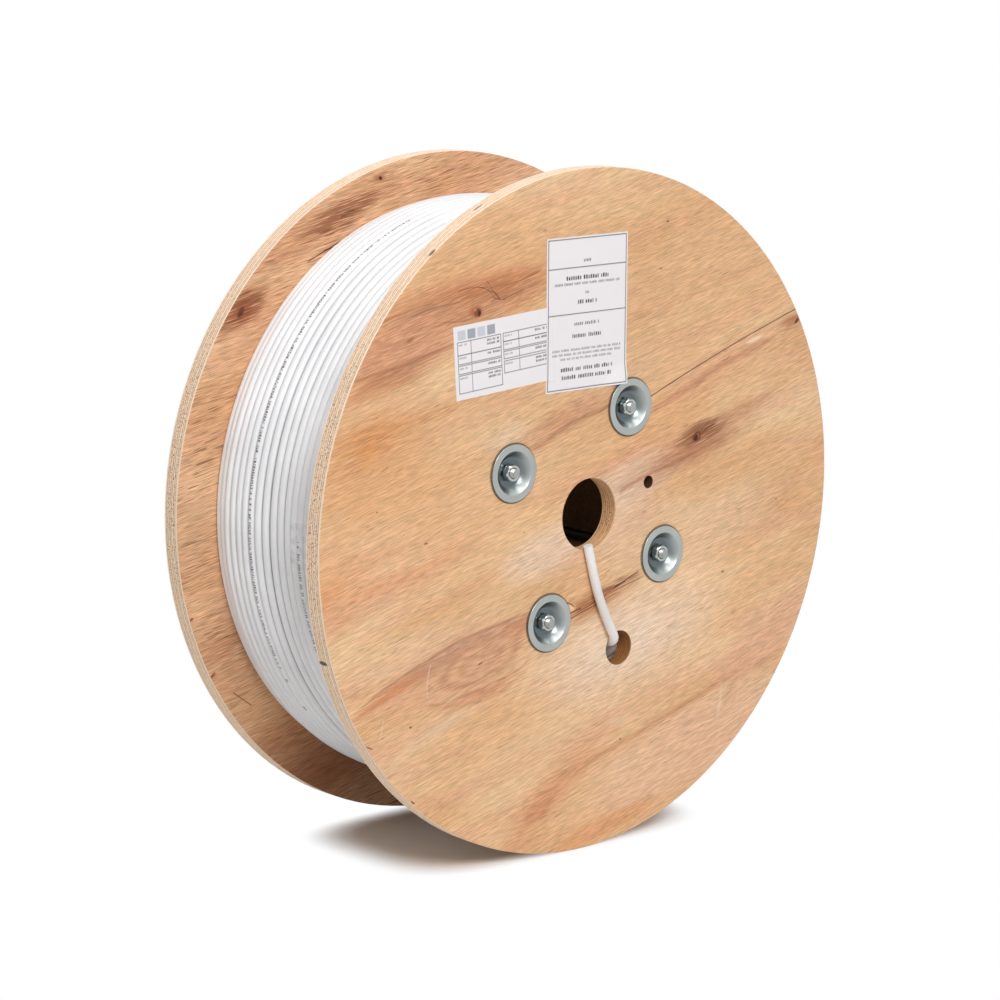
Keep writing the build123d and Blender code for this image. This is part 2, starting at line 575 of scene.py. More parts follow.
        # Fibres, pores and raised whiskers are drawn over 1 mm wide: real ones would be finer than a pixel
        fibre = self._noise(node, turned, self.fibre_mm)
        fibre = node("Math", fibre, 0.5, operation="SUBTRACT")
        fibre = node("Math", fibre, operation="ABSOLUTE")
        fibre = node("MapRange", fibre, 0.0, 0.07, 0.0, 1.0)
        strand = self._noise(node, turned, self.strand_mm)
        light = node("Math", strand, 1.6, fibre, operation="MULTIPLY_ADD")
        light = node("MapRange", light, 0.6, 2.0, 1 - self.fibre_contrast, 1 + 0.6 * self.fibre_contrast)
        grit = self._noise(node, turned, self.grit_mm, 1.0, through=10)
        grit = node("MapRange", grit, 0.3, 0.7, 1 - self.grit_contrast, 1 + self.grit_contrast)
        light = node("Math", light, grit, operation="MULTIPLY")
        colour = node("MixRGB", 1.0, colour, light, blend_type="MULTIPLY")
        where = self._noise(node, turned, self.pore_patch_mm, 1.0)
        pore_mm = (self.pore_share * self.fibre_mm[0], self.pore_wide_mm)
        pore = self._noise(node, turned, pore_mm, 1.0)
        pore = node("MapRange", pore, self.pore_from, self.pore_from + 0.07, 0.0, self.pore_strength)
        many = node("MapRange", where, 0.40, 0.62, 0.1, 1.0)
        pore = node("Math", pore, many, operation="MULTIPLY")
        colour = node("MixRGB", pore, colour, linear(self.pore_colour))
        whisker = self._noise(node, turned, pore_mm, 1.0, through=40)
        whisker = node("MapRange", whisker, 0.63, 0.71, 0.0, self.whisker_strength)
        many = node("MapRange", where, 0.38, 0.58, 1.0, 0.15)
        whisker = node("Math", whisker, many, operation="MULTIPLY")
        colour = node("MixRGB", whisker, colour, linear(self.whisker_colour))
        scarred_and_shaded = colour
        for mark in self.scars_and_shade:
            scarred_and_shaded = mark.paint(node, scarred_and_shaded, drifted if mark.drift else still, kept)
        colour = node("MixRGB", facing, colour, scarred_and_shaded)

        # Knife chatter runs across the grain, a wave of about 3 mm
        chatter = self._noise(node, turned, self.chatter_mm, 1.0)
        relief = node("Math", chatter, 0.25, light, operation="MULTIPLY_ADD")
        relief = node("Math", pore, -1.2, relief, operation="MULTIPLY_ADD")
        relief = node("Math", whisker, 0.8, relief, operation="MULTIPLY_ADD")
        return colour, relief

    def _edge(self, node: AddNode, place: Socket) -> tuple[Socket, Socket]:
        """The sawn edge's colour and relief: ply bands along Y, dotted where a ply's grain ends at the edge.

        The share of end grain is the squared cosine between the core's grain and the edge's outward
        direction. Every other ply shows it sooner, and the two face plies stay clean.

        Args:
            node: Adds a node to the material.
            place: Object coordinates.

        Returns:
            Sockets for the colour and the relief.
        """
        turned = node("Mapping", place, Rotation=(0, math.radians(self.core_degrees), 0))
        along, across = (node("SeparateXYZ", turned, out=axis) for axis in "XZ")
        level = node("SeparateXYZ", place, out="Y")
        wander = node("TexNoise", place, Scale=38.0, Detail=2.0, out="Fac")
        high_y = self.low_y + self.thickness
        ply = node("MapRange", level, self.low_y, high_y, 0.0, float(self.plies), clamp=False)
        ply = node("Math", wander, 0.30, ply, operation="MULTIPLY_ADD")
        ply = node("Math", ply, 0.15, operation="SUBTRACT")
        index = node("Math", ply, operation="FLOOR")
        part = node("Math", ply, operation="FRACT")
        odd = node("Math", index, 2.0, operation="FLOORED_MODULO")
        square = node("Math", along, along, operation="MULTIPLY")
        whole = node("Math", across, across, square, operation="MULTIPLY_ADD")
        share = node("Math", square, whole, operation="DIVIDE")
        least = node("MapRange", odd, 0.0, 1.0, 0.78, 0.55)
        end = node("MapRange", share, least, 0.97, 0.0, 1.0)

        streaked = node("Mapping", place, Scale=(60.0, 1800.0, 60.0))
        streak = node("TexNoise", streaked, Scale=1.0, Detail=2.0, out="Fac")
        colour = node("MixRGB", odd, *map(linear, self.ply_colours))
        tone = node("TexWhiteNoise", None, index, noise_dimensions="1D", out="Value")
        tone = node("Math", tone, 0.12, streak, operation="MULTIPLY_ADD")
        tone = node("MapRange", tone, 0.35, 0.80, 0.90, 1.06)
        colour = node("MixRGB", 1.0, colour, tone, blend_type="MULTIPLY")
        middle = node("Math", part, 0.5, operation="SUBTRACT")
        middle = node("Math", middle, operation="ABSOLUTE")
        glue = node("MapRange", middle, 0.36, 0.46, 0.0, 0.95)
        broken = node("TexNoise", place, Scale=330.0, Detail=1.0, out="Fac")
        broken = node("MapRange", broken, 0.38, 0.58, 0.35, 1.0)
        glue = node("Math", glue, broken, operation="MULTIPLY")
        colour = node("MixRGB", glue, colour, linear(self.glue_colour))
        # Open pores of the end grain are drawn about 1 mm wide so that they show
        pits = node("TexNoise", place, Scale=850.0, Detail=1.0, out="Fac")
        pits = node("MapRange", pits, 0.60, 0.66, 0.0, 0.9)
        core = node("Math", ply, self.plies / 2, self.plies / 2 - 1, operation="COMPARE")
        pits = node("Math", pits, core, operation="MULTIPLY")
        pits = node("Math", pits, end, operation="MULTIPLY")
        colour = node("MixRGB", pits, colour, linear(self.pit_colour))
        # Walls of the holes are darker than the outer edge, as painted shade: a little in the bore, much more
        # in the holes further out
        hole = node("Math", whole, self.hole_within**2, operation="LESS_THAN")
        small = node("MapRange", whole, *(reach**2 for reach in self.axle_within), 0.0, 1.0)
        shade = node("MixRGB", small, *map(linear, self.hole_shades))
        colour = node("MixRGB", hole, colour, shade, blend_type="MULTIPLY")
        # Dark spots: real marks on the sawn edge, and painted shade in the drive hole
        for edge_spot in self.edge_marks_and_shade:
            placed = node("Mapping", place, vector_type="TEXTURE",
                          Location=(edge_spot.x * MM, edge_spot.y * MM, edge_spot.z * MM),
                          Scale=(edge_spot.wide * MM, edge_spot.deep * MM, edge_spot.wide * MM))
            cover = node("TexGradient", placed, gradient_type="SPHERICAL", out="Fac")
            cover = node("MapRange", cover, 0.0, 0.4, 0.0, edge_spot.strength)
            colour = node("MixRGB", cover, colour, linear(edge_spot.colour))
        relief = node("Math", pits, -1.0, streak, operation="MULTIPLY_ADD")
        return colour, relief

    def material(self) -> bpy.types.Material:
        """Builds the material, with the face where the surface looks along Y and the sawn edge elsewhere.

        Returns:
            The material.
        """
        material, node, place = new_material(self.name)
        turned = node("Mapping", place, Rotation=(0, math.radians(self.grain_degrees), 0))
        normal = node("NewGeometry", out="True Normal")
        lean = node("SeparateXYZ", normal, out="Y")
        facing = node("Math", lean, -0.5, operation="LESS_THAN")
        flat = node("Math", lean, operation="ABSOLUTE")
        flat = node("MapRange", flat, 0.55, 0.85, 0.0, 1.0)
        face, face_relief = self._face(node, place, turned, facing)
        edge, edge_relief = self._edge(node, place)
        colour = node("MixRGB", flat, edge, face)
        relief = node("MixRGB", flat, edge_relief, face_relief)
        rough = self._noise(node, turned, self.rough_mm)
        rough = node("MapRange", rough, 0.3, 0.7, 0.55, 0.72)
        bump = node("Bump", Height=relief, Strength=0.35, Distance=0.0006, out="Normal")
        shader = node("BsdfPrincipled", colour, Roughness=rough, Normal=bump, IOR=1.45)
        node("OutputMaterial", shader)
        return material


@dataclass(frozen=True)
class CableJacket:
    """Extruded white halogen-free jacket: satin, faintly uneven, with painted shade in its grooves, printed
    on some runs.

    runs are stretches of the cable's own length, in metres, that carry a row of unreadable print.
    """

    name: str = "white_extruded_jacket"
    colour: str = "#F1F2F4"
    shade: str = "#E6E7E9"
    groove: str = "#98989A"
    ink: str = "#4C4C52"
    runs: tuple[tuple[float, float], ...] = ()
    dot_mm: float = 0.75
    letter_mm: float = 2.0
    word_mm: float = 23.0
    print_share: float = 0.065

    def _wound(self, node: AddNode, colour: Socket) -> Socket:
        """Paints shade into the grooves and prints the outer line, by UV: metres along the cable and turns
        round it.

        The print is a grid of dots, five high, kept or left out by chance, with gaps after letters and words.

        Args:
            node: Adds a node to the material.
            colour: The jacket's plain colour.

        Returns:
            The new colour's socket.
        """
        surface = node("UVMap", uv_map="UVMap")
        along, around = (node("SeparateXYZ", surface, out=axis) for axis in "XY")
        off = node("Math", around, 0.5, operation="SUBTRACT")
        off = node("Math", off, operation="ABSOLUTE")
        # Painted shade: the jacket greys towards the grooves between turns, where shade falls
        groove_shade = node("MapRange", off, 0.185, 0.23, 0.0, 0.6)
        colour = node("MixRGB", groove_shade, colour, linear(self.groove))
        inside = 0.0
        for start, stop in self.runs:
            here = node("Math", along, (start + stop) / 2, (stop - start) / 2, operation="COMPARE")
            inside = node("Math", here, inside, operation="ADD")
        line = node("Math", off, self.print_share, operation="LESS_THAN")
        inside = node("Math", inside, line, operation="MULTIPLY")
        column = node("Math", along, self.dot_mm * MM, operation="SNAP")
        row = node("Math", around, self.print_share / 2.5, operation="SNAP")
        dot = node("CombineXYZ", column, row, 0.0)
        dot = node("TexWhiteNoise", dot, noise_dimensions="2D", out="Value")
        chances = [node("Math", dot, 0.34, operation="GREATER_THAN")]
        for size, least, filled in ((self.letter_mm, 0.12, 0.74), (self.word_mm, 0.03, 0.93)):
            cell = node("Math", along, 1 / (size * MM), operation="MULTIPLY")
            part = node("Math", cell, operation="FRACT")
            chances.append(node("Math", part, filled, operation="LESS_THAN"))
            cell = node("Math", cell, operation="FLOOR")
            chance = node("TexWhiteNoise", None, cell, noise_dimensions="1D", out="Value")
            chances.append(node("Math", chance, least, operation="GREATER_THAN"))
        for chance in chances:
            inside = node("Math", inside, chance, operation="MULTIPLY")
        inside = node("Math", inside, 0.9, operation="MULTIPLY")
        return node("MixRGB", inside, colour, linear(self.ink))

    def material(self) -> bpy.types.Material:
        """Builds the material: a slow grey drift, fine scuffs in roughness and a soft waviness.

        Returns:
            The material.
        """
        material, node, place = new_material(self.name)
        drift = node("TexNoise", place, Scale=16.0, Detail=3.0, out="Fac")
        drift = node("MapRange", drift, 0.35, 0.7, 0.0, 1.0)
        colour = node("MixRGB", drift, linear(self.colour), linear(self.shade))
        if self.runs:
            colour = self._wound(node, colour)
        scuff = node("TexNoise", place, Scale=240.0, Detail=2.0, out="Fac")
        rough = node("MapRange", scuff, 0.3, 0.7, 0.36, 0.5)
        bump = node("Bump", Height=scuff, Strength=0.12, Distance=0.0004, out="Normal")
        shader = node("BsdfPrincipled", colour, IOR=1.5, Roughness=rough, Normal=bump)
        node("OutputMaterial", shader)
        return material


@dataclass(frozen=True)
class ZincPlate:
    """Zinc plate on pressed or rolled steel: bluish silver, faintly cloudy, darker where painted shade is
    laid on.

    A point attribute holds painted shade: 0 is clean plate, 1 the darker shaded colour with its own
    roughness.
    """

    name: str = "zinc_plated_pressed_steel"
    colour: str = "#BCC0BC"
    cloud: str = "#A6ACAA"
    shade_colour: str = "#666F72"
    rough: float = 0.3
    shade_rough: float = 0.26

    def material(self) -> bpy.types.Material:
        """Builds the material: metal with clouds of about 2 cm in colour and roughness.

        Returns:
            The material.
        """
        material, node, place = new_material(self.name)
        cloud = node("TexNoise", place, Scale=55.0, Detail=2.0, out="Fac")
        colour = node("MixRGB", cloud, linear(self.colour), linear(self.cloud))
        # Painted shade from the piece's point attribute: a darker colour and its own roughness
        tarnish = node("Attribute", attribute_name="tarnish", out="Fac")
        colour = node("MixRGB", tarnish, colour, linear(self.shade_colour))
        rough = node("MapRange", tarnish, 0.0, 1.0, self.rough, self.shade_rough)
        rough = node("Math", cloud, 0.08, rough, operation="MULTIPLY_ADD")
        shader = node("BsdfPrincipled", colour, Metallic=1.0, Roughness=rough)
        node("OutputMaterial", shader)
        return material


@dataclass(frozen=True)
class LabelPaper:
    """Coated label paper: flat white with a faint fibre tooth, printed in thin black lines."""

    name: str = "coated_label_paper"

    def material(self) -> bpy.types.Material:
        """Builds the material from the piece's printed colour attribute and a paper tooth of 0.6 mm.

        Returns:
            The material.
        """
        material, node, place = new_material(self.name)
        printed = node("Attribute", attribute_name="printed", out="Color")
        tooth = node("TexNoise", place, Scale=1600.0, Detail=2.0, out="Fac")
        light = node("MapRange", tooth, 0.3, 0.7, 0.96, 1.02)
        colour = node("MixRGB", 1.0, printed, light, blend_type="MULTIPLY")
        bump = node("Bump", Height=tooth, Strength=0.1, Distance=0.0001, out="Normal")
        shader = node("BsdfPrincipled", colour, Roughness=0.48, IOR=1.5, Normal=bump)
        node("OutputMaterial", shader)
        return material


@dataclass(frozen=True)
class ClearTape:
    """Clear polypropylene tape: a thin glossy film that only shows as a paler patch with a few creases."""

    name: str = "clear_polypropylene_tape"
    colour: str = "#EEF1F5"

    def material(self) -> bpy.types.Material:
        """Builds the material: a see-through film with crease noise in its relief.

        Returns:
            The material.
        """
        material, node, place = new_material(self.name)
        crease = node("TexNoise", place, Scale=130.0, Detail=3.0, out="Fac")
        bump = node("Bump", Height=crease, Strength=0.4, Distance=0.0006, out="Normal")
        cover = node("MapRange", crease, 0.45, 0.7, 0.02, 0.12)
        colour = linear(self.colour)
        shader = node("BsdfPrincipled", colour, Roughness=0.16, IOR=1.49, Normal=bump, Alpha=cover)
        node("OutputMaterial", shader)
        return material


@dataclass(frozen=True)
class WoundBoard:
    """Spiral-wound grey-brown board of the barrel: matt, with slanted seams round the tube."""

    name: str = "wound_core_board"
    colour: str = "#A98A68"
    seam: str = "#7E6448"

    def material(self) -> bpy.types.Material:
        """Builds the material: paper bands about 120 mm wide between slanted seams, with fibre flecks.

        Returns:
            The material.
        """
        material, node, place = new_material(self.name)
        slanted = node("Mapping", place, Rotation=(0.0, 0.0, math.radians(28)))
        band = node("TexWave", slanted, Scale=2.6, Distortion=0.6, bands_direction="Y", out="Fac")
        band = node("MapRange", band, 0.0, 0.12, 1.0, 0.0)
        fleck = node("TexNoise", place, Scale=420.0, Detail=4.0, out="Fac")
        cover = node("MapRange", fleck, 0.4, 0.7, 0.0, 0.5)
        cover = node("Math", band, cover, operation="MAXIMUM")
        colour = node("MixRGB", cover, linear(self.colour), linear(self.seam))
        bump = node("Bump", Height=fleck, Strength=0.2, Distance=0.0004, out="Normal")
        shader = node("BsdfPrincipled", colour, Roughness=0.8, Normal=bump)
        node("OutputMaterial", shader)
        return material


# Sub-assemblies


@dataclass
class Flange:
    """One plywood disc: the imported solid's own shape with eased edges."""

    node: str
    finish: Plywood
    merge: float = 0.01 * MM
    ease: float = 0.7 * MM
    ease_from_degrees: float = 35.0

    def build(self) -> bpy.types.Object:
        """Copies the solid, merges its loose triangles, eases its edges with a bevel and dresses it.

        Returns:
            The finished piece.
        """
        mesh = bpy.data.meshes.new("plywood_" + self.node)
        work = bmesh.new()
        work.from_mesh(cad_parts[self.node].data)
        bmesh.ops.remove_doubles(work, verts=work.verts, dist=self.merge)
        work.to_mesh(mesh)
        work.free()
        mesh.materials.clear()
        mesh.polygons.foreach_set("material_index", np.zeros(len(mesh.polygons), np.int32))
        mesh.polygons.foreach_set("use_smooth", np.ones(len(mesh.polygons), bool))
        piece = link_object(mesh.name, mesh)
        bevel = piece.modifiers.new("eased_edges", "BEVEL")
        bevel.width = self.ease
        bevel.segments = 2
        bevel.limit_method = "ANGLE"
        bevel.angle_limit = math.radians(self.ease_from_degrees)
        bevel.harden_normals = True
        return dress(piece, self.finish.material(), "plywood", (self.node,), sharp_degrees=30)


@dataclass
class Winding:
    """The wound cable: its outer layer as true turns of one cable, over a core that closes the gaps.

    The core's depth, ripple and grooves are in cable radii. printed lists turns with the degrees from and to
    which they carry print.
    """

    cable_radius: float = 3.75 * MM
    outer_radius: float = 237.0 * MM
    bore_radius: float = 103.2 * MM
    half_width: float = 79.7 * MM
    turns: int = 21
    steps_per_turn: int = 200
    ring_points: int = 14
    cross_from: float = 248.0
    cross_sweep: float = 44.0
    swell: float = 5.6 * MM
    swell_places: tuple[float, ...] = (-12.0 * MM, 31.88 * MM, 54.99 * MM, 84.48 * MM)
    sway: float = 0.25 * MM
    sway_rates: tuple[float, ...] = (1.37, 2.21, 3.53, 5.17)
    core_depth: float = 1.62
    core_ripple: float = 0.1
    side_groove: float = 0.8
    core_steps_per_turn: int = 6
    core_steps_per_layer: int = 8
    core_steps_round: int = 160
    loose_gaps: tuple[tuple[int, float], ...] = ((11, 0.4 * MM), (14, 0.5 * MM))
    seed: int = 7
    printed: tuple[tuple[int, float, float], ...] = (
        (14, 111.0, 210.0), (14, 212.5, 215.5), (14, 217.0, 221.0), (7, 182.0, 215.0),
    )

    def pitch(self) -> float:
        """The distance between neighbouring turns."""
        return 2 * self.half_width / self.turns

    def _length_at(self, turn: int, degrees: float) -> float:
        """The cable's own length, in metres, where a turn passes an angle."""
        share = ((degrees - self.cross_from - self.cross_sweep) % 360) / 360
        return (turn + share) * 2 * math.pi * (self.outer_radius - self.cable_radius)

    def _bulge(self, y: np.ndarray) -> np.ndarray:
        """The swell at places along the axis: a smooth step up to the back and one down at the flange."""
        start, full, end, gone = self.swell_places
        return self.swell * smooth_step(y, start, full) * (1 - smooth_step(y, end, gone))

    def _levels(self) -> np.ndarray:
        """The middle of each turn along the axis, from the cable's width and the gaps, the slack shared out.

        Returns:
            One more Y than there are turns.
        """
        gaps = np.zeros(self.turns)
        for turn, gap in self.loose_gaps:
            gaps[turn] = gap
        slack = 2 * self.half_width - 2 * self.cable_radius * self.turns - gaps.sum()
        gaps[gaps == 0] = slack / (self.turns - len(self.loose_gaps))
        widths = 2 * self.cable_radius + gaps
        return -self.half_width + np.cumsum(np.concatenate([[0.0], widths])) + self.cable_radius

    def _centre_line(self, count: np.ndarray) -> tuple[np.ndarray, np.ndarray, np.ndarray]:
        """The cable's centre line.

        A turn stays level for most of its way and shifts by one pitch, on a cubic step, in the last part
        of it. Its radius swells a little towards the back flange and sways by slow sines.

        Args:
            count: Turns from the front end of the layer.

        Returns:
            Angle, radius and Y for each.
        """
        rng = np.random.default_rng(self.seed)
        whole = np.floor(count)
        shift = smooth_step(count - whole, 1 - self.cross_sweep / 360, 1.0)
        y = np.interp(whole + shift, np.arange(self.turns + 1), self._levels())
        y = np.clip(y, -self.half_width + self.cable_radius, self.half_width - self.cable_radius)
        angle = np.radians(self.cross_from + self.cross_sweep) + 2 * np.pi * count
        radius = self.outer_radius - self.cable_radius + self._bulge(y)
        phase = rng.uniform(0, 2 * np.pi, len(self.sway_rates))
        for k, rate in enumerate(self.sway_rates):
            radius = radius + self.sway * np.sin(rate * 2 * np.pi * count + phase[k]) / (k + 1.5)
            y = y + 0.35 * self.sway * np.sin((rate + 0.4) * 2 * np.pi * count + phase[-k]) / (k + 1.5)
        return angle, np.minimum(radius, self.outer_radius + self.swell - self.cable_radius), y

    def _strand(self) -> bpy.types.Object:
        """The outer layer: a circle of the cable's radius carried along the centre line.

        Returns:
            The piece, with metres along the cable and turns round it as its UV map.
        """
        count = np.linspace(0, self.turns, self.turns * self.steps_per_turn + 1)
        angle, radius, y = self._centre_line(count)
        around = np.linspace(0, 2 * np.pi, self.ring_points, endpoint=False)
        outward = radius[:, None] - self.cable_radius * np.cos(around)
        grid = np.stack([
            outward * np.cos(angle)[:, None],
            y[:, None] + self.cable_radius * np.sin(around),
            outward * np.sin(angle)[:, None],
        ], -1)
        along = count * 2 * np.pi * (self.outer_radius - self.cable_radius)
        share = np.linspace(0, 1, self.ring_points + 1)
        uv = np.stack(np.meshgrid(along, share, indexing="ij"), -1)
        return grid_piece("cable_outer_layer", [grid], wrap=(False, True), uv=uv, caps=True)

    def _core(self) -> bpy.types.Object:
        """The layers beneath: a turned ring whose outside and sides ripple by one wave per turn or layer.

        A side lies back from the winding's end by a share of the cable's radius times one minus the root of
        the wave, so that each layer is a rounded ridge between narrow grooves.

        Returns:
            The piece.
        """
        y = np.linspace(-self.half_width, self.half_width, self.turns * self.core_steps_per_turn + 1)
        wave = np.abs(np.sin(np.pi * (y + self.half_width) / self.pitch()))
        outside = self.outer_radius - self.core_depth * self.cable_radius + self._bulge(y)
        outside = outside + self.core_ripple * self.cable_radius * wave
        layers = round((outside[0] - self.bore_radius) / (2 * self.cable_radius))
        share = np.linspace(0.0, 1.0, layers * self.core_steps_per_layer + 1)[:-1]
        ridge = np.sqrt(np.abs(np.sin(np.pi * layers * share)))
        side = self.half_width - self.side_groove * self.cable_radius * (1 - ridge)
        up = self.bore_radius + share * (outside[0] - self.bore_radius)
        radius = np.concatenate([up, outside, up[::-1]])
        height = np.concatenate([-side, y, side[::-1]])
        grid = turned_grid(radius, height, (0.0, 0.0), Side.BACK, self.core_steps_round)
        return grid_piece("cable_inner_layers", [grid], wrap=(True, True))

    def build(self) -> list[bpy.types.Object]:
        """Builds and dresses the outer layer and the layers beneath."""
        runs = tuple(
            (self._length_at(turn, start), self._length_at(turn, stop)) for turn, start, stop in self.printed
        )
        return [
            dress(self._strand(), CableJacket(runs=runs).material(), "cable_jacket", ("cable_winding",)),
            # The layers beneath get a grey-brown copy of the white jacket: painted shade for cable deep
            # between the flanges
            dress(self._core(), CableJacket("jacket_beneath_painted_shade", "#A59E95", "#776E64").material(),
                  "cable_jacket", ("cable_winding",), sharp_degrees=40),
        ]


@dataclass
class CableTail:
    """The cable's inner end: out through the exit hole and up the front flange's face, cut off square."""

    route_mm: tuple[tuple[float, float, float], ...] = (
        (31.5, -79.7, -109.3), (31.5, -101.5, -109.3), (18.9, -101.3, -88.1),
        (8.6, -100.9, -67.4), (1.7, -100.4, -45.6), (-4.5, -100.1, -24.1),
    )
    diameter: float = 7.5 * MM
    length: float = 110.5 * MM
    exit_point: tuple[float, float, float] = (0.0315, -0.096, -0.1093)

    def build(self) -> bpy.types.Object:
        """Returns:
            The cord's curve object.
        """
        curve = bpy.data.curves.new("cable_tail_end", "CURVE")
        curve.dimensions = "3D"
        curve.bevel_depth = self.diameter / 2
        curve.bevel_resolution = 7
        curve.use_fill_caps = True
        curve.resolution_u = 20
        spline = curve.splines.new("NURBS")
        spline.points.add(len(self.route_mm) - 1)
        points = np.ones((len(self.route_mm), 4))
        points[:, :3] = np.array(self.route_mm) * MM
        spline.points.foreach_set("co", points.ravel())
        spline.order_u = 3
        spline.use_endpoint_u = True
        tail = link_object("cable_tail_end", curve)
        dress(tail, CableJacket("white_jacket_tail", "#EDECEB", "#DCD9D6").material(), "cable_jacket",
              ("cable_tail",))
        return tail


@dataclass
class EndTape:
    """The strip of clear tape over the cable's outer end, bent to the winding."""

    radius: float = 237.0 * MM
    thickness: float = 0.2 * MM
    low_y: float = -63.0 * MM
    high_y: float = -13.0 * MM
    start_degrees: float = 178.5
    sweep_degrees: float = 8.8
    sag: float = 0.5 * MM
    stand_off: float = 0.2 * MM
    winding_half_width: float = 79.7 * MM
    pitch: float = 159.4 / 21 * MM
    steps_across: int = 90
    steps_along: int = 40

    def build(self) -> bpy.types.Object:
        """Builds the film as a closed sheet whose radius dips by a squared cosine between the turns.

        Returns:
            The finished piece.
        """
        y = np.linspace(self.low_y, self.high_y, self.steps_across)
        stop_degrees = self.start_degrees + self.sweep_degrees
        angle = np.radians(np.linspace(self.start_degrees, stop_degrees, self.steps_along))
        dip = np.cos(np.pi * (y + self.winding_half_width) / self.pitch) ** 2
        layers = []
        for lift in (self.stand_off, self.stand_off + self.thickness):
            radius = (self.radius + lift - self.sag * dip)[None, :]
            layers.append(np.stack([
                radius * np.cos(angle)[:, None],
                np.broadcast_to(y, (len(angle), len(y))),
                radius * np.sin(angle)[:, None],
            ], -1))
        loop = np.concatenate([layers[0], layers[1][:, ::-1]], 1)
        piece = grid_piece("clear_end_tape", [loop], wrap=(False, True), caps=True)
        return dress(piece, ClearTape().material(), "clear_tape", ("end_tape",), sharp_degrees=40)


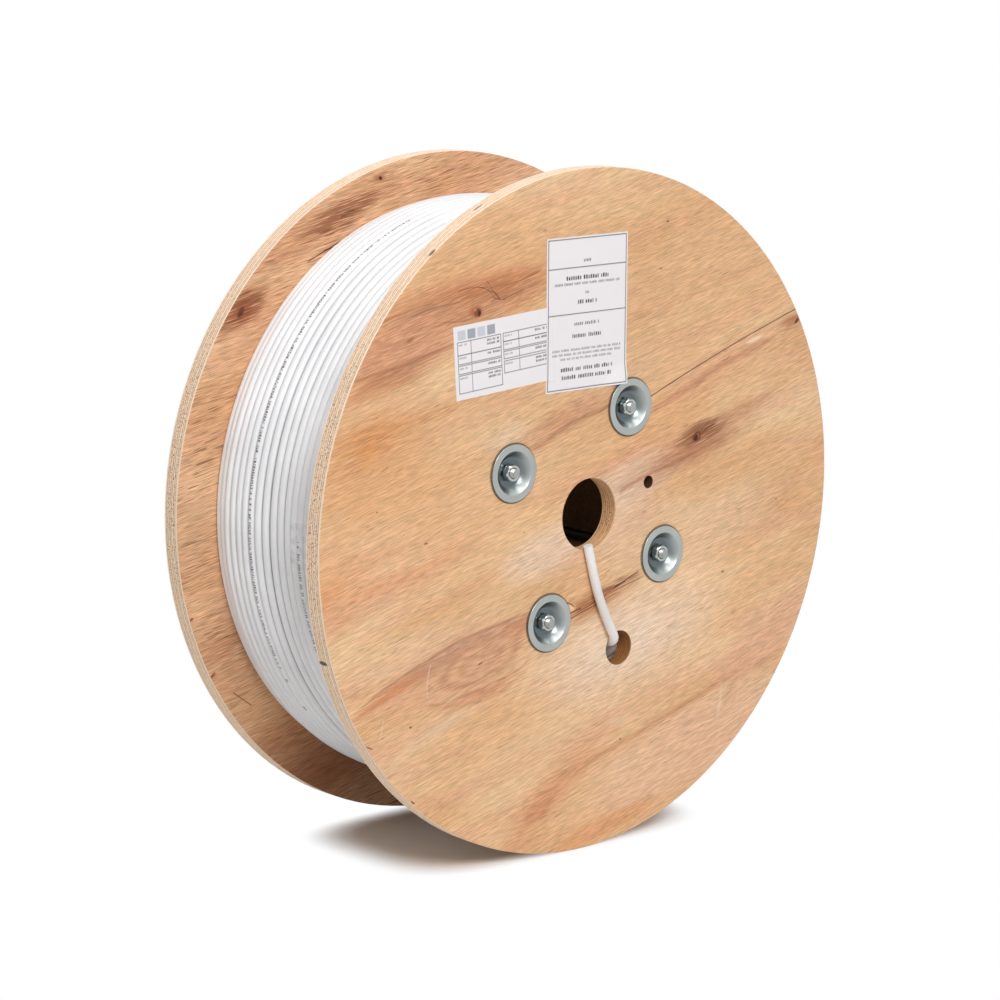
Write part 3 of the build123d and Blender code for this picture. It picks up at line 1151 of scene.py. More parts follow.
@dataclass
class TieHardware:
    """The four tie rods with their dished washers and hexagon nuts on both flanges.

    nut_outline gives the cone that limits a nut's radius: shares of its height and of half its flats.
    """

    face: float = 96.0 * MM
    circle_radius: float = 92.5 * MM
    first_degrees: float = 63.8
    count: int = 4
    rod_radius: float = 4.0 * MM
    rod_end: float = 100.0 * MM
    thread_pitch: float = 1.25 * MM
    thread_depth: float = 0.62 * MM
    thread_length: float = 16.0 * MM
    washer_radius: float = 23.0 * MM
    mouth_radius: float = 17.5 * MM
    seat_radius: float = 10.5 * MM
    hole_radius: float = 4.5 * MM
    sheet: float = 1.5 * MM
    depth: float = 7.0 * MM
    nut_flats: float = 13.0 * MM
    nut_height: float = 6.5 * MM
    nut_turns: tuple[float, ...] = (12.0, 38.0, 3.0, 49.0)
    nut_outline: tuple[tuple[float, float], ...] = (
        (0.0, 0.93), (0.1, 1.0), (0.22, 1.09), (0.5, 1.2), (0.78, 1.09), (0.9, 1.0), (1.0, 0.93), (1.0, 0.80),
    )
    nut_lead_in: float = 0.5 * MM
    thread_clearance: float = 0.1 * MM
    rim_roll: float = 0.5 * MM
    bead_height: float = 0.15 * MM
    bead_from_mouth: float = 0.7 * MM
    bead_width: float = 0.5 * MM
    steps_round: int = 96
    rod_steps_round: int = 40
    washer_steps: int = 80
    thread_steps: int = 92
    rod_chamfer: float = 0.9 * MM

    def places(self) -> list[tuple[float, float]]:
        """The rods' centres (x, z)."""
        angles = [math.radians(self.first_degrees + 360 / self.count * k) for k in range(self.count)]
        return [(self.circle_radius * math.cos(a), self.circle_radius * math.sin(a)) for a in angles]

    def _paint_shade(self, piece: bpy.types.Object, amount: np.ndarray) -> bpy.types.Object:
        """Puts painted shade of 0 to 1 on each point of a piece."""
        piece.data.attributes.new("tarnish", "FLOAT", "POINT").data.foreach_set("value", amount.ravel())
        return piece

    def _washers(self, side: Side) -> bpy.types.Object:
        """Dished washers: a flat rim with a fine bead, and a bowl.

        The bead is a bell curve beside the bowl's mouth. The bowl falls three parts as a quarter of a sine
        and one part as a cubic step. Painted shade darkens the bowl from its mouth towards the seat, and the
        rolled outer edge as a contact shadow. The bowl's back keeps to the straight cone of its seat in the
        flange.

        Args:
            side: The flange that they lie on.

        Returns:
            The washers as one piece.
        """
        radius = np.linspace(self.washer_radius - self.rim_roll, self.hole_radius, self.washer_steps)
        t = np.clip((self.mouth_radius - radius) / (self.mouth_radius - self.seat_radius), 0, 1)
        fall = 0.25 * smooth_step(t, 0.0, 1.0) + 0.75 * np.sin(np.pi / 2 * t)
        from_bead = (radius - self.mouth_radius - self.bead_from_mouth) / self.bead_width
        bead = self.bead_height * np.exp(-from_bead**2)
        top = self.sheet - self.depth * fall + bead
        back = np.minimum(-self.depth * t, 0.0)
        roll = np.linspace(0, np.pi, 9)[1:-1]
        edge_radius = self.washer_radius - self.rim_roll + self.rim_roll * np.sin(roll)
        edge_height = self.sheet / 2 - self.sheet / 2 * np.cos(roll)
        profile = np.concatenate([radius, radius[::-1], edge_radius])
        height = np.concatenate([top, back[::-1], edge_height])
        grids = [
            turned_grid(profile, self.face + height, place, side, self.steps_round) for place in self.places()
        ]
        # Painted shade: a little from just outside the mouth, most towards the seat, full on the rolled outer
        # edge as contact shadow
        drawn = 0.15 * smooth_step(self.mouth_radius + 0.6 * MM - profile, 0.0, 1.2 * MM)
        drawn += 0.85 * smooth_step(self.mouth_radius - profile, 0.0, self.mouth_radius - self.seat_radius)
        drawn = np.maximum(drawn, smooth_step(profile, self.washer_radius - 0.4 * MM, self.washer_radius))
        piece = grid_piece(f"dished_washers_{side.name.lower()}", grids, wrap=(True, True))
        return self._paint_shade(piece, np.tile(np.repeat(drawn, self.steps_round), self.count))

    def _nuts(self, side: Side) -> bpy.types.Object:
        """Hexagon nuts, chamfered at both ends.

        The radius is the flats' distance over the cosine of the angle from a flat's middle, and never more
        than the cone of the outline.

        Args:
            side: The flange that they lie on.

        Returns:
            The nuts as one piece.
        """
        floor = self.face + self.sheet - self.depth
        heights, cones = zip(*self.nut_outline)
        level = np.array([0.0, *heights, 1.0, 0.93, 0.0]) * self.nut_height
        bore = self.rod_radius + self.thread_clearance
        outline = np.array(cones) * self.nut_flats / 2
        cone = np.concatenate([[bore], outline, [bore + self.nut_lead_in, bore, bore]])
        angle = np.linspace(0, 2 * np.pi, self.steps_round, endpoint=False)
        grids = []
        for place, turn in zip(self.places(), self.nut_turns):
            from_flat = (angle - math.radians(turn) + np.pi / 6) % (np.pi / 3) - np.pi / 6
            flats = self.nut_flats / 2 / np.cos(from_flat)
            radius = np.minimum(cone[:, None], flats[None, :])
            grids.append(turned_grid(radius, floor + level, place, side, len(angle)))
        return grid_piece(f"hexagon_nuts_{side.name.lower()}", grids, wrap=(True, True))

    def _rod(self, number: int) -> bpy.types.Object:
        """A rod with rolled threads: near its ends the radius falls by a triangle wave of length and angle.

        Args:
            number: The rod's place in the order of places().

        Returns:
            The rod.
        """
        plain = self.rod_end - self.thread_length
        end = np.linspace(plain, self.rod_end, self.thread_steps)
        y = np.concatenate([-end[::-1], np.linspace(-plain, plain, 8)[1:-1], end])
        angle = np.linspace(0, 2 * np.pi, self.rod_steps_round, endpoint=False)
        wave = np.abs(((y[:, None] / self.thread_pitch - angle / (2 * np.pi)) % 1.0) * 2 - 1)
        threaded = smooth_step(np.abs(y), plain, plain + 1.5 * MM)[:, None]
        chamfer = smooth_step(np.abs(y), self.rod_end - self.rod_chamfer, self.rod_end + 0.5 * MM)[:, None]
        radius = self.rod_radius - self.thread_depth * wave * threaded - self.rod_chamfer * chamfer
        grid = turned_grid(radius, y, self.places()[number], Side.BACK, len(angle))
        piece = grid_piece(f"threaded_tie_rod_{number + 1}", [grid], wrap=(False, True), caps=True)
        # Painted shade: the plain middle, between the flanges inside the drum, is darkened
        return self._paint_shade(piece, np.repeat(1.0 - threaded, len(angle)))

    def build(self) -> list[bpy.types.Object]:
        """Builds and dresses all the steel pieces.

        Returns:
            The washers and nuts of each flange, then the rods.
        """
        zinc = ZincPlate().material()
        bright = ZincPlate("zinc_plated_nut_steel", "#C6C8C4", "#AFB2B0", rough=0.2).material()
        # The rods' shaded colour is near black: painted shade for their middles inside the drum
        dull = ZincPlate("zinc_plated_rod_steel", "#B2B4B0", "#9A9D9C", "#4A4742", 0.26, 0.55).material()
        pieces = []
        for side in Side:
            tail = side.name.lower()
            pieces.append(dress(self._washers(side), zinc, "zinc_plated_steel", (f"cup_washers_{tail}",), 50))
            pieces.append(dress(self._nuts(side), bright, "zinc_plated_steel", (f"nuts_{tail}",), 28))
        for number in range(self.count):
            pieces.append(dress(self._rod(number), dull, "zinc_plated_steel", (f"tie_rod_{number + 1}",), 32))
        return pieces


@dataclass
class Label:
    """A printed paper label on the front flange, placed by its centre, with sizes in millimetres.

    cell is the step of its grid, and word and stroke are the lengths drawn for print of the text height.
    """

    name: str
    node: str
    size: tuple[float, float]
    centre: tuple[float, float]
    tilt: float
    cell: float = 0.4
    paper: str = "#EDE9EB"
    ink: str = "#1C1B1F"
    face: float = 96.0
    thickness: float = 0.2
    text_height: float = 1.6
    word: tuple[float, float] = (2.2, 8.0)
    stroke: tuple[float, float] = (0.45, 0.85)
    x: np.ndarray = field(init=False, repr=False)
    z: np.ndarray = field(init=False, repr=False)
    colour: np.ndarray = field(init=False, repr=False)

    def __post_init__(self) -> None:
        """Lays out the sheet's grid and a bare paper colour for each of its points."""
        steps = [int(round(s / self.cell)) + 1 for s in self.size]
        self.x = np.linspace(0, self.size[0], steps[0])
        self.z = np.linspace(0, self.size[1], steps[1])
        self.colour = np.broadcast_to(np.array(linear(self.paper)), (*steps, 4)).copy()

    def bar(
        self, x0: float, z0: float, x1: float, z1: float, ink: str | None = None, cover: float = 1.0,
    ) -> None:
        """Prints a filled bar by how much of each grid cell it covers.

        Args:
            x0: Left edge from the label's left edge.
            z0: Lower edge from the label's lower edge.
            x1: Right edge.
            z1: Upper edge.
            ink: Its colour, or None for black.
            cover: How dense the ink is.
        """
        half = self.cell / 2
        share = [
            np.clip(np.minimum(axis + half, high) - np.maximum(axis - half, low), 0, self.cell) / self.cell
            for axis, low, high in ((self.x, x0, x1), (self.z, z0, z1))
        ]
        mask = cover * np.outer(*share)[..., None]
        self.colour = self.colour * (1 - mask) + np.array(linear(ink or self.ink)) * mask

    def box(self, x0: float, z0: float, x1: float, z1: float, line: float = 0.7, cover: float = 1.0) -> None:
        """Prints an outline box of thin rules."""
        half = line / 2
        for a, b, c, d in ((x0, z0, x1, z0), (x0, z1, x1, z1), (x0, z0, x0, z1), (x1, z0, x1, z1)):
            self.bar(a - half, b - half, c + half, d + half, cover=cover)

    def dashes(self, x0: float, x1: float, z: float, height: float, seed: int, cover: float = 0.7) -> None:
        """Prints a row of unreadable dashes: short strokes in word-long groups, from a seeded draw.

        Args:
            x0: Where it starts.
            x1: Where it ends.
            z: The height of its middle line.
            height: How tall the strokes are.
            seed: The draw's seed.
            cover: How dense the ink is.
        """
        rng = np.random.default_rng(seed)
        x = x0
        while x < x1:
            stop = min(x + rng.uniform(*self.word) * height / self.text_height, x1)
            while x < stop - 0.2:
                stroke = rng.uniform(*self.stroke) * height / self.text_height
                rise = rng.uniform(0.0, 0.25) * height
                self.bar(x, z - height / 2, min(x + stroke, stop), z + height / 2 - rise, cover=cover)
                x += stroke + 0.28 * height
            x = stop + 0.75 * height

    def lift(self, x: np.ndarray, z: np.ndarray) -> np.ndarray:
        """How far the sheet's back stands off the face, in millimetres: a faint cockle of crossed sines."""
        return 0.03 + 0.05 * np.sin(0.11 * x + 0.6) * np.sin(0.09 * z + 0.2) ** 2

    def build(self) -> bpy.types.Object:
        """Builds the sheet as a closed slab over the lift and hands the print over as a colour attribute.

        The point at (x, z) of the label lies at its centre plus the tilted offset from its middle, and the
        front and back differ by the paper's thickness.

        Returns:
            The finished piece.
        """
        u, w = np.meshgrid(self.x - self.size[0] / 2, self.z - self.size[1] / 2, indexing="ij")
        c, s = math.cos(math.radians(self.tilt)), math.sin(math.radians(self.tilt))
        x, z = self.centre[0] + c * u - s * w, self.centre[1] + s * u + c * w
        lift = np.maximum(self.lift(x, z), 0.0)
        front = np.stack([x, -(self.face + lift + self.thickness), z], -1)
        back = np.stack([x, -(self.face + lift), z], -1)
        rows, columns = x.shape
        points = np.concatenate([front.reshape(-1, 3), back.reshape(-1, 3)]) * MM
        corners = cell_corners(rows - 1, columns - 1)
        quads = corners[..., 0] * columns + corners[..., 1]
        index = np.arange(rows * columns).reshape(rows, columns)
        rim = np.concatenate([index[:-1, 0], index[-1, :-1], index[:0:-1, -1], index[0, :0:-1]])
        following = np.roll(rim, -1)
        back_shift = rows * columns
        sides = np.stack([rim, rim + back_shift, following + back_shift, following], 1)
        mesh = bpy.data.meshes.new(self.name)
        mesh.from_pydata(points, [], np.concatenate([quads, quads[:, ::-1] + back_shift, sides]).tolist())
        printed = mesh.attributes.new("printed", "FLOAT_COLOR", "POINT")
        bare = np.broadcast_to(np.array(linear(self.paper)), self.colour.shape)
        printed.data.foreach_set("color", np.concatenate([self.colour, bare]).ravel())
        mesh.polygons.foreach_set("use_smooth", np.ones(len(mesh.polygons), bool))
        mesh.update()
        piece = link_object(self.name, mesh)
        return dress(piece, LabelPaper().material(), "label_paper", (self.node,), sharp_degrees=40)


@dataclass
class UprightLabel(Label):
    """The upper label: steps over the lower one and rides up on a washer's rim."""

    washer: tuple[float, float] = (40.84, 83.0)
    washer_radius: float = 23.0
    washer_sheet: float = 1.5
    under_centre: tuple[float, float] = (-96.5, 135.0)
    under_size: tuple[float, float] = (100.0, 57.0)
    under_tilt: float = 5.5
    border: float = 1.6
    label_gap: float = 0.12
    label_ramp: tuple[float, float] = (0.3, 2.2)
    rim_gap: float = 0.3
    rim_ramp: tuple[float, float] = (0.4, 16.0)

    def lift(self, x: np.ndarray, z: np.ndarray) -> np.ndarray:
        """The cockle plus the lower label's thickness or the washer's rim, each with a cubic ramp round it.

        Args:
            x: Places to the right on the flange's face.
            z: Places up it.

        Returns:
            How far the sheet's back stands off the face, in millimetres.
        """
        base = super().lift(x, z)
        c, s = math.cos(math.radians(self.under_tilt)), math.sin(math.radians(self.under_tilt))
        dx, dz = x - self.under_centre[0], z - self.under_centre[1]
        out = np.maximum(np.abs(c * dx + s * dz) - self.under_size[0] / 2,
                         np.abs(c * dz - s * dx) - self.under_size[1] / 2)
        over_label = (self.thickness + self.label_gap) * (1 - smooth_step(out, *self.label_ramp))
        distance = np.hypot(x - self.washer[0], z - self.washer[1]) - self.washer_radius
        over_rim = (self.washer_sheet + self.rim_gap) * (1 - smooth_step(distance, *self.rim_ramp))
        return base + np.maximum(over_label, over_rim)

    def print_layout(self) -> None:
        """Prints a thin border, two rules and centred rows of dashes of several weights."""
        width, height = self.size
        border = self.border
        self.box(border, border, width - border, height - border)
        for share in (0.80, 0.50):
            self.bar(border, share * height - 0.35, width - border, share * height + 0.35)
        middle = width / 2
        # Share of the height from the top, length, height and density of each row
        rows = (
            (0.157, 8, 2.3, 0.9), (0.266, 45, 3.3, 1.0), (0.304, 70, 2.1, 0.8), (0.366, 4, 2.2, 0.8),
            (0.424, 20, 3.2, 1.0), (0.566, 27, 2.7, 0.8), (0.643, 31, 3.2, 1.0), (0.731, 74, 2.0, 0.75),
            (0.759, 74, 2.0, 0.75), (0.788, 56, 2.0, 0.75), (0.857, 55, 3.2, 1.0), (0.909, 53, 3.2, 1.0),
        )
        for seed, (share, length, tall, cover) in enumerate(rows, start=40):
            self.dashes(middle - length / 2, middle + length / 2, (1 - share) * height, tall, seed, cover)


@dataclass
class LandscapeLabel(Label):
    """The lower label, flat on the face, printed with two small tables."""

    chips: tuple[str, ...] = ("#C9CDD2", "#9FA6AE", "#C9CDD2", "#9FA6AE")

    def print_layout(self) -> None:
        """Prints two tables of boxes with caption dashes left and value dashes right, under grey chips."""
        height = self.size[1]
        for k, tint in enumerate(self.chips):
            self.bar(4 + 10 * k, height - 11.0, 12 + 10 * k, height - 3.6, tint)
        # Left edge, split and right edge of each table, and its boxes' lower and upper edges
        tables = (
            (3.5, 17.0, 47.5, ((34.5, 44.5), (27.5, 34.5), (20.0, 26.3), (5.0, 18.8))),
            (50.0, 66.0, 97.0, ((38.0, 44.5), (31.5, 38.0), (24.5, 30.3), (13.5, 22.8))),
        )
        seed = 70
        for left, split, right, rows in tables:
            for low, high in rows:
                self.box(left, low, right, high, 0.55, 0.95)
                self.bar(split - 0.25, low, split + 0.25, high, cover=0.95)
                self.dashes(left + 1.2, left + 9.5, high - 2.2, 1.6, seed, 0.65)
                lines = 2 if high - low > 8 else 1
                for line in range(lines):
                    self.dashes(right - 14.0, right - 1.2, high - 2.3 - 2.8 * line, 1.9, seed + 1 + line, 1.0)
                seed += 4


@dataclass
class Barrel:
    """The tube that the cable is wound on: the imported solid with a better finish."""

    node: str = "barrel"

    def build(self) -> bpy.types.Object:
        """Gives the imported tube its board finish.

        Returns:
            The tube.
        """
        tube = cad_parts[self.node]
        board = WoundBoard().material()
        for slot in tube.material_slots:
            slot.material = board
        LOG.info("solid %s, finish %s", self.node, board.name)
        return tube


@dataclass
class Studio:
    """A white floor, a white surround and soft light, with the camera at the photograph's angle."""

    azimuth: float = -42.295
    elevation: float = 10.178
    roll: float = 1.593
    distance: float = 2.6072
    aim_right: float = -0.07084
    aim_up: float = 0.01136
    face_y: float = -0.096
    lens: float = 118.34
    sensor: float = 36.0
    floor_z: float = -0.275
    floor_paint: float = 0.8
    floor_bounce_tint: tuple[float, float, float] = (0.92, 0.77, 0.65)
    floor_far: tuple[float, float, float] = (0.92, 0.94, 0.96)
    shadow_side: float = 0.172
    shadow_front: float = 0.104
    shadow_back: float = 0.09
    tint_from: float = 0.3
    tint_to: float = 0.9
    white_from: float = 0.2
    world_strength: float = 0.31
    lamps: tuple[tuple[str, tuple[float, float, float], float, float], ...] = (
        ("overhead_softbox", (-0.2, -0.5, 3.0), 1.6, 28.0),
        ("back_softbox", (1.4, 3.0, 1.2), 1.8, 26.0),
        ("front_softbox", (-1.5, -2.8, 2.3), 1.4, 87.0),
    )

    def _camera(self) -> None:
        """Places the camera by its angles, roll and distance from a point in the front face's plane."""
        a, e, r = (math.radians(v) for v in (self.azimuth, self.elevation, self.roll))
        back = Vector((math.sin(a) * math.cos(e), -math.cos(a) * math.cos(e), math.sin(e)))
        level = Vector((math.cos(a), math.sin(a), 0.0))
        up = back.cross(level)
        right = math.cos(r) * level + math.sin(r) * up
        top = math.cos(r) * up - math.sin(r) * level
        aim = Vector((0.0, self.face_y, 0.0)) + self.aim_right * right + self.aim_up * top
        data = bpy.data.cameras.new("photo_camera")
        data.lens = self.lens
        data.sensor_width = self.sensor
        camera = link_object("photo_camera", data)
        place = aim + back * self.distance
        camera.matrix_world = Matrix((
            (right.x, top.x, back.x, place.x), (right.y, top.y, back.y, place.y),
            (right.z, top.z, back.z, place.z), (0, 0, 0, 1),
        ))
        bpy.context.scene.camera = camera

    def _seen(self, node: AddNode) -> Socket:
        """Tells the rays that show a surface from those that carry its light.

        Args:
            node: Adds a node to the material or the world.

        Returns:
            A socket that is 1 for camera, mirror and see-through rays, and 0 for others.
        """
        camera, glossy, clear = (
            node("LightPath", out=f"Is {kind} Ray") for kind in ("Camera", "Glossy", "Transmission")
        )
        seen = node("Math", camera, glossy, operation="MAXIMUM")
        return node("Math", seen, clear, operation="MAXIMUM")

    def _floor(self) -> None:
        """A wide floor that keeps the object's shadow, with painted warm bounce in it, and fades to plain
        white away from it.

        The distance from the shadow's middle is the sum of the fourth powers of its shares of the reach to
        each side, so that the patch is a rounded rectangle.
        """
        span = np.linspace(-9.0, 9.0, 3)
        x, y = np.meshgrid(span, span, indexing="ij")
        floor = grid_piece("studio_floor", [np.stack([x, y, np.full_like(x, self.floor_z)], -1)])
        material, node, place = new_material("white_studio_floor")
        seen = self._seen(node)
        away = 0.0
        for axis, reach in (("X", -self.shadow_side), ("X", self.shadow_side),
                            ("Y", -self.shadow_front), ("Y", self.shadow_back)):
            share = node("SeparateXYZ", place, out=axis)
            share = node("Math", share, 1 / reach, operation="MULTIPLY", use_clamp=True)
            share = node("Math", share, 4.0, operation="POWER")
            away = node("Math", share, away, operation="ADD")
        # Painted warm bounce light: in the shadow patch the seen colour is warm and a little dark, neutral
        # further out
        tint = node("MapRange", away, self.tint_from, self.tint_to, 0.0, 1.0)
        tint = node("MixRGB", tint, (*self.floor_bounce_tint, 1.0), (*self.floor_far, 1.0))
        paint = node("MixRGB", seen, (*[self.floor_paint] * 3, 1.0), tint)
        away = node("MapRange", away, self.white_from, 1.0, 0.0, seen, interpolation_type="SMOOTHSTEP")
        white = node("Emission", (1.0, 1.0, 1.0, 1.0), 1.0)
        node("OutputMaterial", node("MixShader", away, node("BsdfDiffuse", paint), white))
        floor.data.materials.append(material)

    def _world(self) -> None:
        """A white surround: full white where it is seen, and an even soft light otherwise."""
        world = bpy.data.worlds.new("white_surround")
        world.use_nodes = True
        world.node_tree.nodes.clear()
        node = partial(add_node, world.node_tree)
        strength = node("MapRange", self._seen(node), 0.0, 1.0, self.world_strength, 1.0)
        node("OutputWorld", node("Background", (1.0, 1.0, 1.0, 1.0), strength))
        bpy.context.scene.world = world

    def _lamp(self, name: str, place: tuple[float, float, float], size: float, watts: float) -> None:
        """A square soft lamp that faces the drum.

        Args:
            name: The lamp's name.
            place: Where it stands, in metres.
            size: Its side's length.
            watts: Its power.
        """
        data = bpy.data.lights.new(name, "AREA")
        data.size = size
        data.energy = watts
        lamp = link_object(name, data)
        lamp.location = place
        lamp.rotation_euler = (-Vector(place)).to_track_quat("-Z", "Y").to_euler()

    def build(self) -> None:
        """Builds the floor, the surround, the lamps and the camera, and sets a plain view transform."""
        self._floor()
        self._world()
        for lamp in self.lamps:
            self._lamp(*lamp)
        self._camera()
        bpy.context.scene.view_settings.view_transform = "Standard"


# This drum's own marks, in millimetres to the right and up as seen from the front

